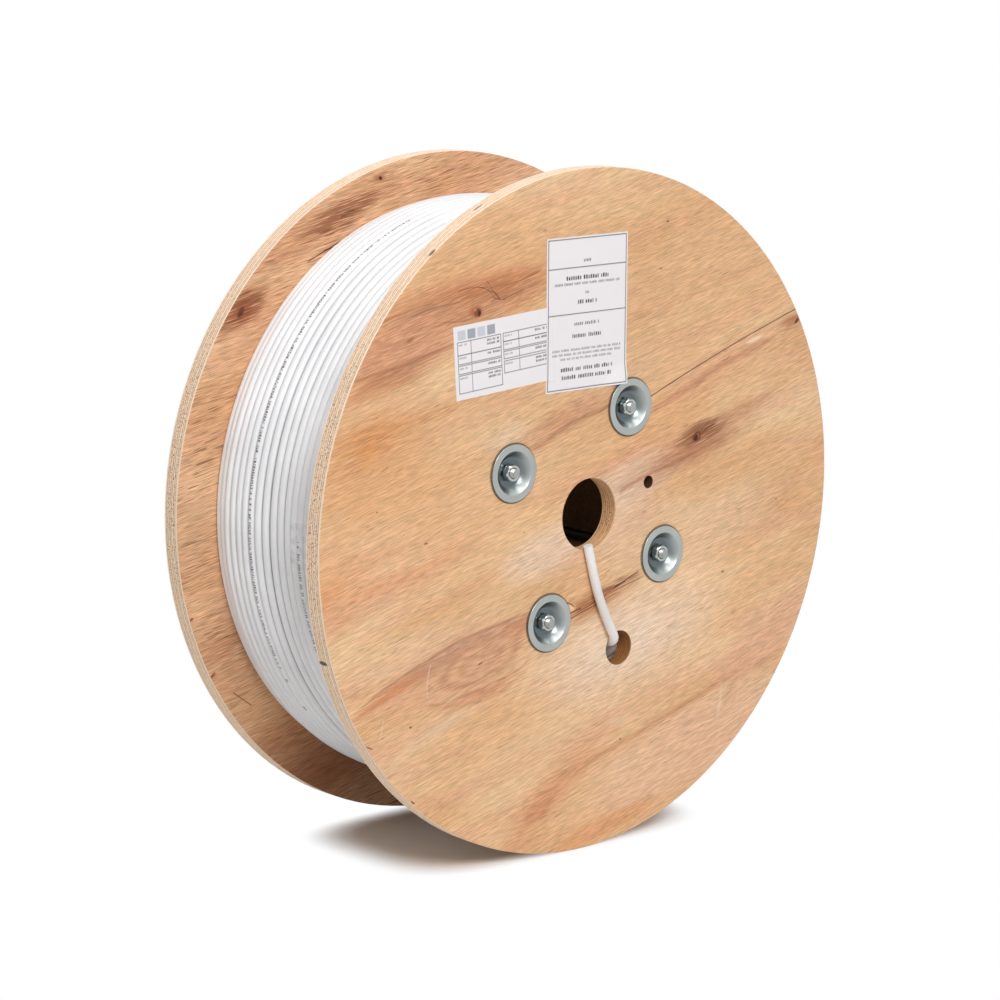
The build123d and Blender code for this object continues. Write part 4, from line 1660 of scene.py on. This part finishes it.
FRONT_PLY = Plywood(
    "rotary_cut_plywood_front",
    low_y=-0.096,
    grain_degrees=16.0,
    stains_and_shade=(
        Mark(-205, 40, 150, 110, 12, "#DEA572", 0.5, 1.0),
        Mark(-128, 222, 120, 38, 12, "#DEAD7E", 0.6),
        Mark(120, 200, 150, 90, 15, "#DBAB7C", 0.6),
        Mark(45, -110, 155, 58, 15, "#EDD3BA", 0.95, 1.0),
        Mark(25, -15, 120, 55, 15, "#E7C7AC", 0.4, 1.0),
        Mark(-95, 70, 40, 12, 15, "#EBD0B2", 0.65, 1.0, fray=0.3),
        Mark(10, 240, 130, 42, 10, "#DDAE80", 0.55, 1.0),
        Mark(-45, -25, 62, 26, 15, "#E6C8AE", 0.7),
        Mark(45, 18, 75, 26, 15, "#E5C5AC", 0.7),
        Mark(150, -20, 90, 32, 15, "#E2BD98", 0.5),
        Mark(-60, -190, 95, 32, 16, "#E2BA91", 0.6),
        Mark(130, -205, 160, 46, 18, "#E6B998", 0.7),
        Mark(-228, 74, 95, 40, 14, "#CE8749", 0.85, 1.0, fray=0.3),
        Mark(-175, 92, 90, 9, 13, "#D59A66", 0.6, fray=0.6),
        Mark(-268, -34, 62, 44, 15, "#DB9058", 0.75, 1.2, fray=0.3),
        Mark(-205, -30, 80, 9, 15, "#E0A074", 0.55, fray=0.5),
        Mark(-190, -88, 90, 18, 15, "#E8C29C", 0.6),
        Mark(-138, 178, 135, 27, 8, "#D69A70", 0.85, 0.5, fray=0.2),
        Mark(-112, 188, 74, 13, 9, "#BE7A4E", 0.75, fray=0.5),
        Mark(-190, 148, 70, 29, 7, "#DDA27C", 0.8, 0.5, fray=0.2),
        Mark(-222, 118, 66, 15, 13, "#C98658", 0.75, fray=0.5),
        Stroke(-205, 168, 40, 2.4, 14, "#B3714B", 0.6, fray=0.5),
        Stroke(-195, 131, 55, 2.6, 10, "#B5744E", 0.65, bend=-4, fray=0.4),
        Mark(112, 38, 92, 19, 17, "#B9825F", 0.9, 0.7, fray=0.4),
        Mark(170, 70, 80, 13, 17, "#C6926D", 0.75, fray=0.5),
        Mark(148, 112, 125, 20, 19, "#D9A682", 0.65, fray=0.35),
        Stroke(138, 104, 80, 4, 18, "#BE8260", 0.6, fray=0.5),
        Mark(-20, 78, 85, 15, 17, "#CC9470", 0.75, fray=0.6),
        Stroke(-8, 76, 62, 3, 17, "#AE7353", 0.6, fray=0.6),
        Stroke(90, 30, 60, 2.4, 18, "#A76C4B", 0.6, fray=0.5),
        Mark(-135, -108, 108, 30, 16, "#DBA782", 0.8, 0.45, fray=0.15),
        Mark(-142, -95, 95, 11, 16, "#C08E70", 0.7, bend=9, fray=0.3),
        Stroke(-146, -90, 100, 2.4, 16, "#9C7460", 0.7, 1.0, bend=11, fray=0.5),
        Stroke(-112, -128, 62, 1.4, 13, "#9C6444", 0.6, 1.0, bend=-7, fray=0.6),
        Mark(-205, -119, 58, 8, 22, "#D08B5E", 0.75, fray=0.4),
        Mark(-112, -131, 70, 9, 12, "#C98B66", 0.7, bend=-7, fray=0.5),
        Mark(-112, -107, 60, 21, 14, "#B37B58", 0.45, 0.3, hollow=0.14, fray=0.15),
        Mark(-112, -107, 60, 21, 14, "#B37B58", 0.4, 0.58, hollow=0.1, fray=0.15),
        Mark(-72, -84, 40, 12, 6, "#CB8F68", 0.8, fray=0.6),
        Mark(-42, -230, 70, 26, 40, "#D08C62", 0.85, 1.0, fray=0.25),
        Mark(-4, -206, 66, 18, 25, "#D3966E", 0.75, 1.0, fray=0.25),
        Stroke(112, -171, 135, 6, 17, "#C88E69", 0.75, 1.0, bend=4, fray=0.35),
        Mark(200, -136, 70, 18, 17, "#DDA786", 0.7),
        Mark(30, -260, 85, 13, 12, "#D99A68", 0.65),
    ),
    scars_and_shade=(
        Mark(14, -70, 62, 15, 16, "#C48253", 0.75, 1.0, False, fray=0.35),
        Mark(-2, -76, 34, 17, 14, "#AE6C3C", 0.7, 1.0, False, fray=0.4),
        Mark(20, -68, 58, 11, 17, "#8A4C29", 0.55, 0.6, False, fray=1.0),
        Mark(30, -61, 42, 5, 17, "#7A3F20", 0.65, 0.6, False, fray=1.0),
        Stroke(20, -69, 46, 0.7, 17, "#7A4226", 0.75, 0.7, False, bend=1.5, fray=0.6),
        Stroke(44, -57.5, 15, 0.8, 20, "#57290F", 0.85, 0.7, False, fray=0.3),
        Stroke(36, -61.5, 8, 0.7, 20, "#43200E", 0.85, 0.7, False, fray=0.3),
        Stroke(-6, -79, 20, 0.7, 17, "#6A3A20", 0.8, 0.7, False, bend=1.0, fray=0.3),
        Mark(-18.5, -74, 8, 4.0, 0, "#EFC79C", 0.9, 0.5, False),
        Stroke(-14, -77.4, 9, 0.7, 14, "#4E2812", 0.9, 0.6, False),
        Stroke(-18, -70.4, 6, 0.7, -24, "#5A3018", 0.85, 0.6, False, bend=1.0),
        # A thin dark ring round each washer: the dark joint where it presses into the wood, and painted
        # contact shadow
        *(Mark(x / MM, z / MM, 24.6, 24.6, 0, "#2E2016", 0.85, 0.045, False, hollow=0.045)
          for x, z in TieHardware().places()),
        Stroke(146, 121.4, 92, 0.65, 20, "#3A2418", 0.9, 0.6, False, bend=2.0, taper=30.0, fray=0.25),
        Mark(-135, 172, 105, 27, 8, "#9A6040", 0.35, 0.5, fray=1.0),
        Mark(-205, 140, 70, 32, 12, "#A4684A", 0.3, 0.5, fray=1.0),
        Mark(-196, 128, 62, 9, 19, "#8E654E", 0.5, 1.0, fray=0.5),
        Mark(-180, 169, 48, 6, 12, "#94705A", 0.6, 1.0, bend=3, fray=0.4),
        Mark(-100, 179, 26, 9, 10, "#94593A", 0.6, 1.0, fray=0.5),
        Mark(-72, 184, 34, 6, 15, "#8A5234", 0.6, 1.0, fray=0.5),
        Stroke(-132, 187.8, 14, 0.6, 4, "#7A482C", 0.6, 0.8, False, bend=1.5, fray=0.4),
        Stroke(-117, 186.2, 8, 0.7, -20, "#4E2A1C", 0.65, 0.8, False, bend=1.2, fray=0.4),
        Stroke(-106, 181.6, 6, 0.9, -40, "#43241A", 0.75, 0.8, False, bend=0.8, fray=0.3),
        Stroke(-113, 189, 5, 0.5, -50, "#6A3C28", 0.5, 0.8, False),
        Stroke(-103, 177.5, 7, 0.7, -10, "#4A281A", 0.65, 0.8, False, bend=-1.0, fray=0.4),
        Stroke(-88, 180.5, 12, 0.6, 16, "#5A3020", 0.65, 0.8, False, fray=0.5),
        Stroke(-88, 190, 30, 1.4, 10, "#96593A", 0.6, 0.8, bend=-3, fray=0.5),
        Stroke(-150, 161, 24, 1.0, 4, "#8E5A3C", 0.5, 0.8, fray=0.5),
        Stroke(-165, 174, 26, 1.0, 14, "#8E5A3C", 0.5, 0.8, bend=2, fray=0.5),
        Mark(-126, 169, 10, 7.0, 0, "#A65F3A", 0.85, 0.8, False),
        Mark(-124.5, 168.5, 5.0, 4.6, 20, "#7A3A20", 0.85, 0.6, False),
        Mark(-122.6, 168, 2.2, 3.6, 0, "#2E140C", 0.9, 0.6, False),
        Mark(-127, 170.6, 2.2, 1.4, 20, "#D08A58", 0.8, 0.6, False),
        Mark(-193, 148, 6, 1.6, 14, "#96613F", 0.85, 0.7, fray=0.4),
        Mark(121, 54, 34, 13, 20, "#A66A46", 0.7, 1.0, fray=0.4),
        Mark(124, 55, 36, 11, 20, "#7E4A2E", 0.7, 0.3, fray=1.0),
        Mark(117.5, 52, 8.0, 6.0, 30, "#94502C", 0.85, 0.7, False),
        Mark(118.5, 52.5, 6.4, 4.6, 30, "#5A2A16", 0.8, 0.35, False, hollow=0.3),
        Mark(117.5, 51.5, 3.4, 2.6, 60, "#22100A", 0.95, 0.5, False),
        Stroke(131, 58.5, 9, 0.9, 26, "#5E341E", 0.75, 0.7, False, bend=1.5, fray=0.4),
        Stroke(128, 61, 7, 0.8, 34, "#6E4128", 0.7, 0.7, False, fray=0.4),
        Mark(228, 140, 22, 8, 14, "#A96B45", 0.8, 0.9, fray=0.3),
        Mark(232, 139, 3.4, 2.2, 40, "#42210F", 0.9, 0.6),
        Mark(184, 126, 15, 2.6, 14, "#F3D6B6", 0.85),
        Mark(-113, -109, 4, 1.2, 14, "#8A5030", 0.85),
        Mark(-171, -5, 2.6, 1.1, 10, "#6A4028", 0.8, 0.6, False),
        Mark(76, 229.5, 1.5, 1.0, 0, "#4A2F1E", 0.95, 0.6, False),
        Mark(70, 192, 2.4, 1.5, 5, "#A97A54", 0.75, 0.6, False),
        Mark(-57, 228, 3.6, 1.3, 14, "#9A6C48", 0.55, 0.8, False),
        Mark(-182, -147, 1.9, 1.3, 0, "#7A4428", 0.85, 0.6, False),
        Mark(43, -190, 1.7, 0.9, 0, "#5A3A26", 0.9, 0.6, False),
        Mark(-220, 24, 1.1, 0.9, 0, "#5A3A26", 0.8, 0.6, False),
        Mark(155, -64, 2.4, 1.3, 0, "#8A5332", 0.8, 0.6, False),
        Mark(61, -4, 4, 1.4, 14, "#A87650", 0.5, 0.9, False),
        Mark(-70, -7, 2.6, 1.4, 14, "#A07452", 0.5, 0.9, False),
        Mark(216, -9, 1.5, 1.0, 0, "#8A5A3A", 0.8, 0.6, False),
        Mark(45, -172, 26, 4.5, 3, "#F0DCC4", 0.3, fray=0.6),
        Mark(158, -176, 24, 3.0, 82, "#F2DCC4", 0.35, 0.9, False, bend=-3),
        Stroke(-166, -113, 14, 0.8, 84, "#EED8C4", 0.5, 0.8, False, bend=2, fray=0.5),
        Stroke(-211, -146, 10, 0.8, 80, "#EFDAC6", 0.45, 0.8, False, fray=0.5),
        Mark(-150, -152, 60, 7.0, 18, "#EBD3B8", 0.55, 1.0, fray=0.6),
        Mark(-223, -157, 5, 0.9, -25, "#7A4A2E", 0.8, 0.6, False),
        Mark(-178, -207, 4, 1.0, -38, "#4A2A1A", 0.8, 0.6, False),
    ),
    swirls=(
        Swirl(-113, -108, 70, 24, 14, 2.2),
        Swirl(-126, 168, 34, 15, 6, 3.0),
        Swirl(117, 52, 34, 12, 16, 3.0),
        Swirl(231, 138, 30, 12, 12, 2.5),
        Swirl(-200, 146, 56, 20, 14, 2.6),
        Swirl(-40, -228, 60, 22, 36, 2.0),
    ),
    edge_marks_and_shade=(
        EdgeMarkAndShade(-260.4, -85.0, -88.5, 6.0, 2.2, 0.9),
        # Painted shade on the drive hole's wall, near black through the flange's thickness
        EdgeMarkAndShade(64.8, -86.0, 19.8, 40.0, 16.0, 0.8, "#2A1A10"),
        EdgeMarkAndShade(-170.0, -94.0, 216.0, 2.0, 5.0, 0.8),
        EdgeMarkAndShade(-120.0, -88.0, 247.5, 1.5, 6.0, 0.7),
    ),
)

BACK_PLY = Plywood(
    "rotary_cut_plywood_back",
    low_y=0.080,
    grain_degrees=13.0,
    pale="#E6BC94",
    tan="#D6A276",
    pore_colour="#84492A",
    pore_strength=0.75,
    pore_from=0.60,
    whisker_strength=0.6,
    fibre_contrast=0.2,
    fibre_mm=(32.0, 1.3),
    grit_contrast=0.36,
    grit_mm=(16.0, 0.5),
    stains_and_shade=(
        Mark(-150, 215, 110, 22, 20, "#C98A62", 0.6, fray=0.4),
        Mark(-80, 250, 60, 18, 5, "#CF966C", 0.5, fray=0.4),
        Mark(-212, 157, 40, 20, 25, "#C48259", 0.6, fray=0.3),
        # The next two marks darken the lower part of this inner face: painted shade where the front flange
        # keeps light off
        Mark(-120, -225, 170, 70, 10, "#96562C", 0.85, 1.0),
        Mark(-230, -110, 60, 60, 10, "#B9825A", 0.65, 1.0),
        Mark(-262, -20, 30, 60, 0, "#CBA380", 0.6, 1.0),
    ),
    scars_and_shade=(
        Mark(-212, 157, 15, 9, 25, "#A45A30", 0.85, 0.7, fray=0.3),
        Mark(-213, 157, 6, 4, 60, "#3A1A0C", 0.95, 0.5, fray=0.3),
        Mark(-214, 157, 34, 15, 26, "#7A3E20", 0.75, 0.3, fray=1.0),
        Mark(-112, 226, 50, 14, 20, "#84482A", 0.7, 0.3, fray=1.0),
        Mark(-100, 227, 16, 4, 18, "#8E5A3C", 0.75, 0.9, fray=0.6),
        Stroke(-104, 226, 8, 1.0, 18, "#5A3320", 0.8, 0.8, fray=0.4),
        Mark(-124, 222, 24, 4, 25, "#A0643F", 0.6, 0.9, fray=0.7),
        Mark(-78, 254, 11, 4.5, 10, "#B0653A", 0.85, 0.8, fray=0.2),
        Mark(-77, 254, 2.6, 2.2, 0, "#2A120A", 0.95, 0.6),
        Stroke(-132, 199, 20, 0.9, 24, "#33190C", 0.9, 0.7, False, fray=0.4),
        Stroke(-124, 201, 9, 1.2, 10, "#4A2614", 0.8, 0.7, False, fray=0.4),
        Mark(-260, -85, 3, 1.6, 30, "#8E4C30", 0.9, 0.6),
        Mark(-237, -136, 5, 1.8, 40, "#9A4A30", 0.9, 0.6),
        Stroke(-208, -156, 12, 0.7, -35, "#5A3420", 0.7, 0.6, False),
    ),
    swirls=(
        Swirl(-212, 157, 40, 20, 25, 3.5),
        Swirl(-100, 227, 34, 14, 18, 2.5),
        Swirl(-78, 254, 24, 12, 10, 2.5),
    ),
    reverse=(
        Mark(-60, 150, 240, 50, 14, "#DDA679", 0.7, 1.0, fray=0.3),
        Mark(110, 60, 170, 42, 15, "#EBCDAB", 0.8, 1.0),
        Mark(-130, -30, 150, 46, 13, "#EACBA7", 0.75, 1.0),
        Mark(60, -150, 210, 40, 12, "#D3986D", 0.75, 1.0, fray=0.35),
        Mark(170, 175, 110, 26, 16, "#CF9268", 0.7, 0.8, fray=0.4),
        Mark(-190, 95, 90, 20, 15, "#CB8C62", 0.7, 0.8, fray=0.4),
        Mark(-40, -235, 150, 24, 10, "#E6C19A", 0.7, 1.0),
        Mark(190, -45, 90, 22, 14, "#C98B62", 0.7, 0.7, fray=0.3),
        Mark(120, -108, 52, 17, 15, "#B77A54", 0.8, 0.6, fray=0.3),
        Mark(120, -108, 34, 10, 15, "#8E5636", 0.6, 0.4, hollow=0.25),
        Mark(120, -108, 7, 4.5, 20, "#4A2413", 0.9, 0.6),
        Mark(-172, 168, 40, 14, 16, "#B0724C", 0.75, 0.7, fray=0.4),
        Mark(-172, 168, 5, 3.4, 30, "#42200F", 0.9, 0.6),
        Stroke(20, 105, 120, 0.8, 14, "#6A4028", 0.75, 0.7, bend=3, fray=0.4),
        Stroke(-90, -118, 80, 1.0, 13, "#8A5636", 0.65, 0.7, bend=-2, fray=0.5),
        Mark(30, 225, 90, 14, 10, "#B97C54", 0.6, fray=0.5),
        Mark(-225, -110, 50, 12, 14, "#BC7F57", 0.65, fray=0.5),
        Stroke(60, 20, 60, 1.2, 15, "#A26C48", 0.5, fray=0.5),
    ),
)


def main() -> None:
    """Builds the studio and the drum's sub-assemblies in order."""
    logging.basicConfig(level=logging.INFO, format="%(name)s: %(message)s")
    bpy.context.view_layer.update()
    Studio().build()
    CableTail().build()
    Flange("flange_front", FRONT_PLY).build()
    Flange("flange_back", BACK_PLY).build()
    Winding().build()
    EndTape().build()
    TieHardware().build()
    Barrel().build()
    lower = LandscapeLabel("paper_label_landscape", "label_landscape", (100.0, 57.0), (-96.5, 135.0), 5.5)
    upper = UprightLabel("paper_label_upright", "label_upright", (86.5, 121.0), (-9.7, 161.8), 1.6, cell=0.48)
    for label in (lower, upper):
        label.print_layout()
        label.build()


if __name__ == "__main__":
    main()
